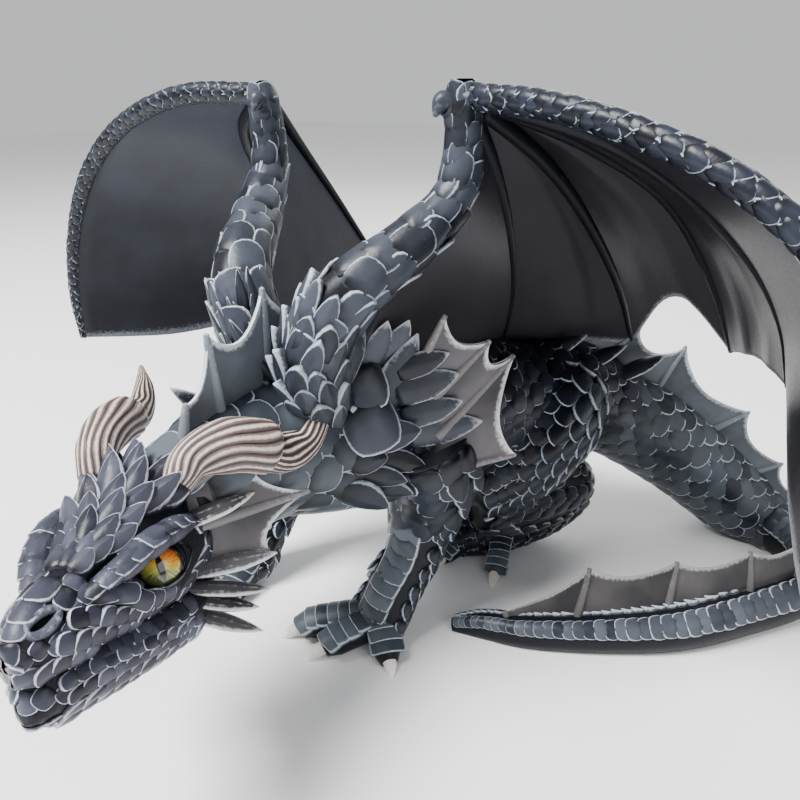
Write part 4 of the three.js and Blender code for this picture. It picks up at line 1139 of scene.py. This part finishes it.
def eyeGlass():
    # a streaked iris from green-yellow to orange, with a dark ring round it and a dark slit across it
    material = bpy.data.materials.new("eyeGlass")
    material.use_nodes = True
    tree = material.node_tree
    shader = tree.nodes["Principled BSDF"]
    shader.inputs["Roughness"].default_value = 0.07
    shader.inputs["Coat Weight"].default_value = 0.5
    shader.inputs["Coat Roughness"].default_value = 0.03
    u, v = attribute(tree, "edge"), attribute(tree, "tint")

    def work(operation, *terms):
        return maths(tree, operation, *terms)

    radius = work("SQRT", work("ADD", work("MULTIPLY", u, u), work("MULTIPLY", v, v)))
    spoke = work("ARCTAN2", v, u)
    wheel = (work("SINE", spoke), work("COSINE", spoke), work("MULTIPLY", radius, 0.35))
    place = node(tree, "ShaderNodeCombineXYZ", dict(enumerate(wheel))).outputs[0]
    blend = work("MULTIPLY_ADD", v, 0.75, work("MULTIPLY_ADD", u, 0.3, grain(tree, place, 9.0, 4.0)))
    ramp = node(tree, "ShaderNodeValToRGB", {"Fac": blend})
    stops = ramp.color_ramp.elements
    stops[0].position, stops[0].color = 0.12, (0.06, 0.08, 0.03, 1)
    stops[1].position, stops[1].color = 0.95, (0.5, 0.09, 0.012, 1)
    for position, colour in ((0.38, (0.28, 0.28, 0.05, 1)), (0.58, (0.6, 0.42, 0.04, 1)),
                             (0.76, (0.66, 0.22, 0.02, 1))):
        stops.new(position).color = colour
    ring = work("SMOOTH_MIN", work("MULTIPLY", work("SUBTRACT", 0.82, radius), 7.0), 1.0, 0.2)
    width = work("MULTIPLY", work("SUBTRACT", 1.0, work("MULTIPLY", work("MULTIPLY", v, v), 2.6)), 0.12)
    slit = work("MULTIPLY", work("SUBTRACT", work("ABSOLUTE", u), width), 22.0)
    light = work("MULTIPLY", work("MAXIMUM", ring, 0.0), work("MINIMUM", work("MAXIMUM", slit, 0.0), 1.0))
    iris = mixed(tree, light, (0.006, 0.006, 0.008, 1), ramp.outputs["Color"])
    tree.links.new(iris, shader.inputs["Base Color"])
    return material


# one plate closes the top of each wrist
for side in (1, -1):
    crown = {"place": offside([wings["crown"]], side), "normal": [(0, -0.25, 1.0)],
             "aim": [(side, 0.4, 0.0)],
             "width": 10.5, "length": 11, "bend": 9}
    addScales(armScales, crown, "round", dome=0.05, lift=0.0, thick=0.06, jitter=0.0, bright=0.6, sink=2.5)

for piece, paintName in (
        (skin, "darkSkin"), (body, "bodyPaint"), (neck, "neckPaint"), (tail, "tailPaint"),
        (legPiece, "bodyPaint"), (scutes, "scutePaint"), (claws, "ivory"), (headSkin, "darkSkin"),
        (headScales, "headPaint"), (wingSkin[1], "membraneLeft"), (wingSkin[-1], "membraneRight"),
        (fingerSkin, "darkSkin"), (wingScales, "bodyPaint"), (armScales, "armPaint"),
        (crestSkin, "crestPaint"), (tailFin, "finPaint"), (frillSkin, "frillPaint"), (mane, "manePaint"),
        (thorns, "thornPaint"), (hornPiece, "hornPaint"), (lids, "darkSkin")):
    piece.build(made[paintName])
glassPaint = eyeGlass()
for name, piece in eyePieces.items():
    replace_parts(piece.build(glassPaint, slot="eye_glass"), name)

# stage
studio = {"floorHalf": 4, "floorGrey": 0.9, "sky": (0.97, 0.98, 1.0, 1), "skyStrength": 0.68,
          "aim": (0, 0, 0.1),
          # place, size, power
          "lamps": {"keyLight": ((-0.3, -0.7, 1.3), 0.6, 60), "fillLight": ((1.2, -0.3, 0.9), 1.2, 9),
                    "backLight": ((-0.2, 1.1, 0.9), 0.8, 10)}}
view = {"yaw": 38.0, "pitch": 24.0, "focal": 31.5, "sensor": 36, "at": (168.86, -248.7, 240.0)}


def layFloor():
    half, grey = studio["floorHalf"], studio["floorGrey"]
    mesh = bpy.data.meshes.new("floor")
    mesh.from_pydata([(-half, -half, 0), (half, -half, 0), (half, half, 0), (-half, half, 0)], [],
                     [(0, 1, 2, 3)])
    floor = bpy.data.objects.new("floor", mesh)
    bpy.context.scene.collection.objects.link(floor)
    material = bpy.data.materials.new("paleFloor")
    material.use_nodes = True
    shader = material.node_tree.nodes["Principled BSDF"]
    shader.inputs["Base Color"].default_value = (grey, grey, grey, 1)
    shader.inputs["Roughness"].default_value = 0.9
    mesh.materials.append(material)


def hangLamps():
    for name, (place, size, power) in studio["lamps"].items():
        light = bpy.data.lights.new(name, "AREA")
        light.size, light.energy = size, power
        lamp = bpy.data.objects.new(name, light)
        lamp.location = place
        lamp.rotation_euler = (Vector(studio["aim"]) - Vector(place)).to_track_quat("-Z", "Y").to_euler()
        bpy.context.scene.collection.objects.link(lamp)


def lightSky():
    world = bpy.data.worlds.new("studio")
    world.use_nodes = True
    world.node_tree.nodes["Background"].inputs["Color"].default_value = studio["sky"]
    world.node_tree.nodes["Background"].inputs["Strength"].default_value = studio["skyStrength"]
    bpy.context.scene.world = world


def setCamera():
    camera = bpy.data.objects.new("camera", bpy.data.cameras.new("camera"))
    camera.data.lens, camera.data.sensor_width = view["focal"], view["sensor"]
    camera.data.clip_start = 0.01
    camera.location = toFrame(view["at"])
    camera.rotation_euler = (math.radians(90 - view["pitch"]), 0, math.radians(view["yaw"]))
    bpy.context.scene.collection.objects.link(camera)
    bpy.context.scene.camera = camera


layFloor()
lightSky()
hangLamps()
setCamera()
print("stage set")

standIn = bpy.data.objects["body_skin"]
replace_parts(standIn, "dragon")
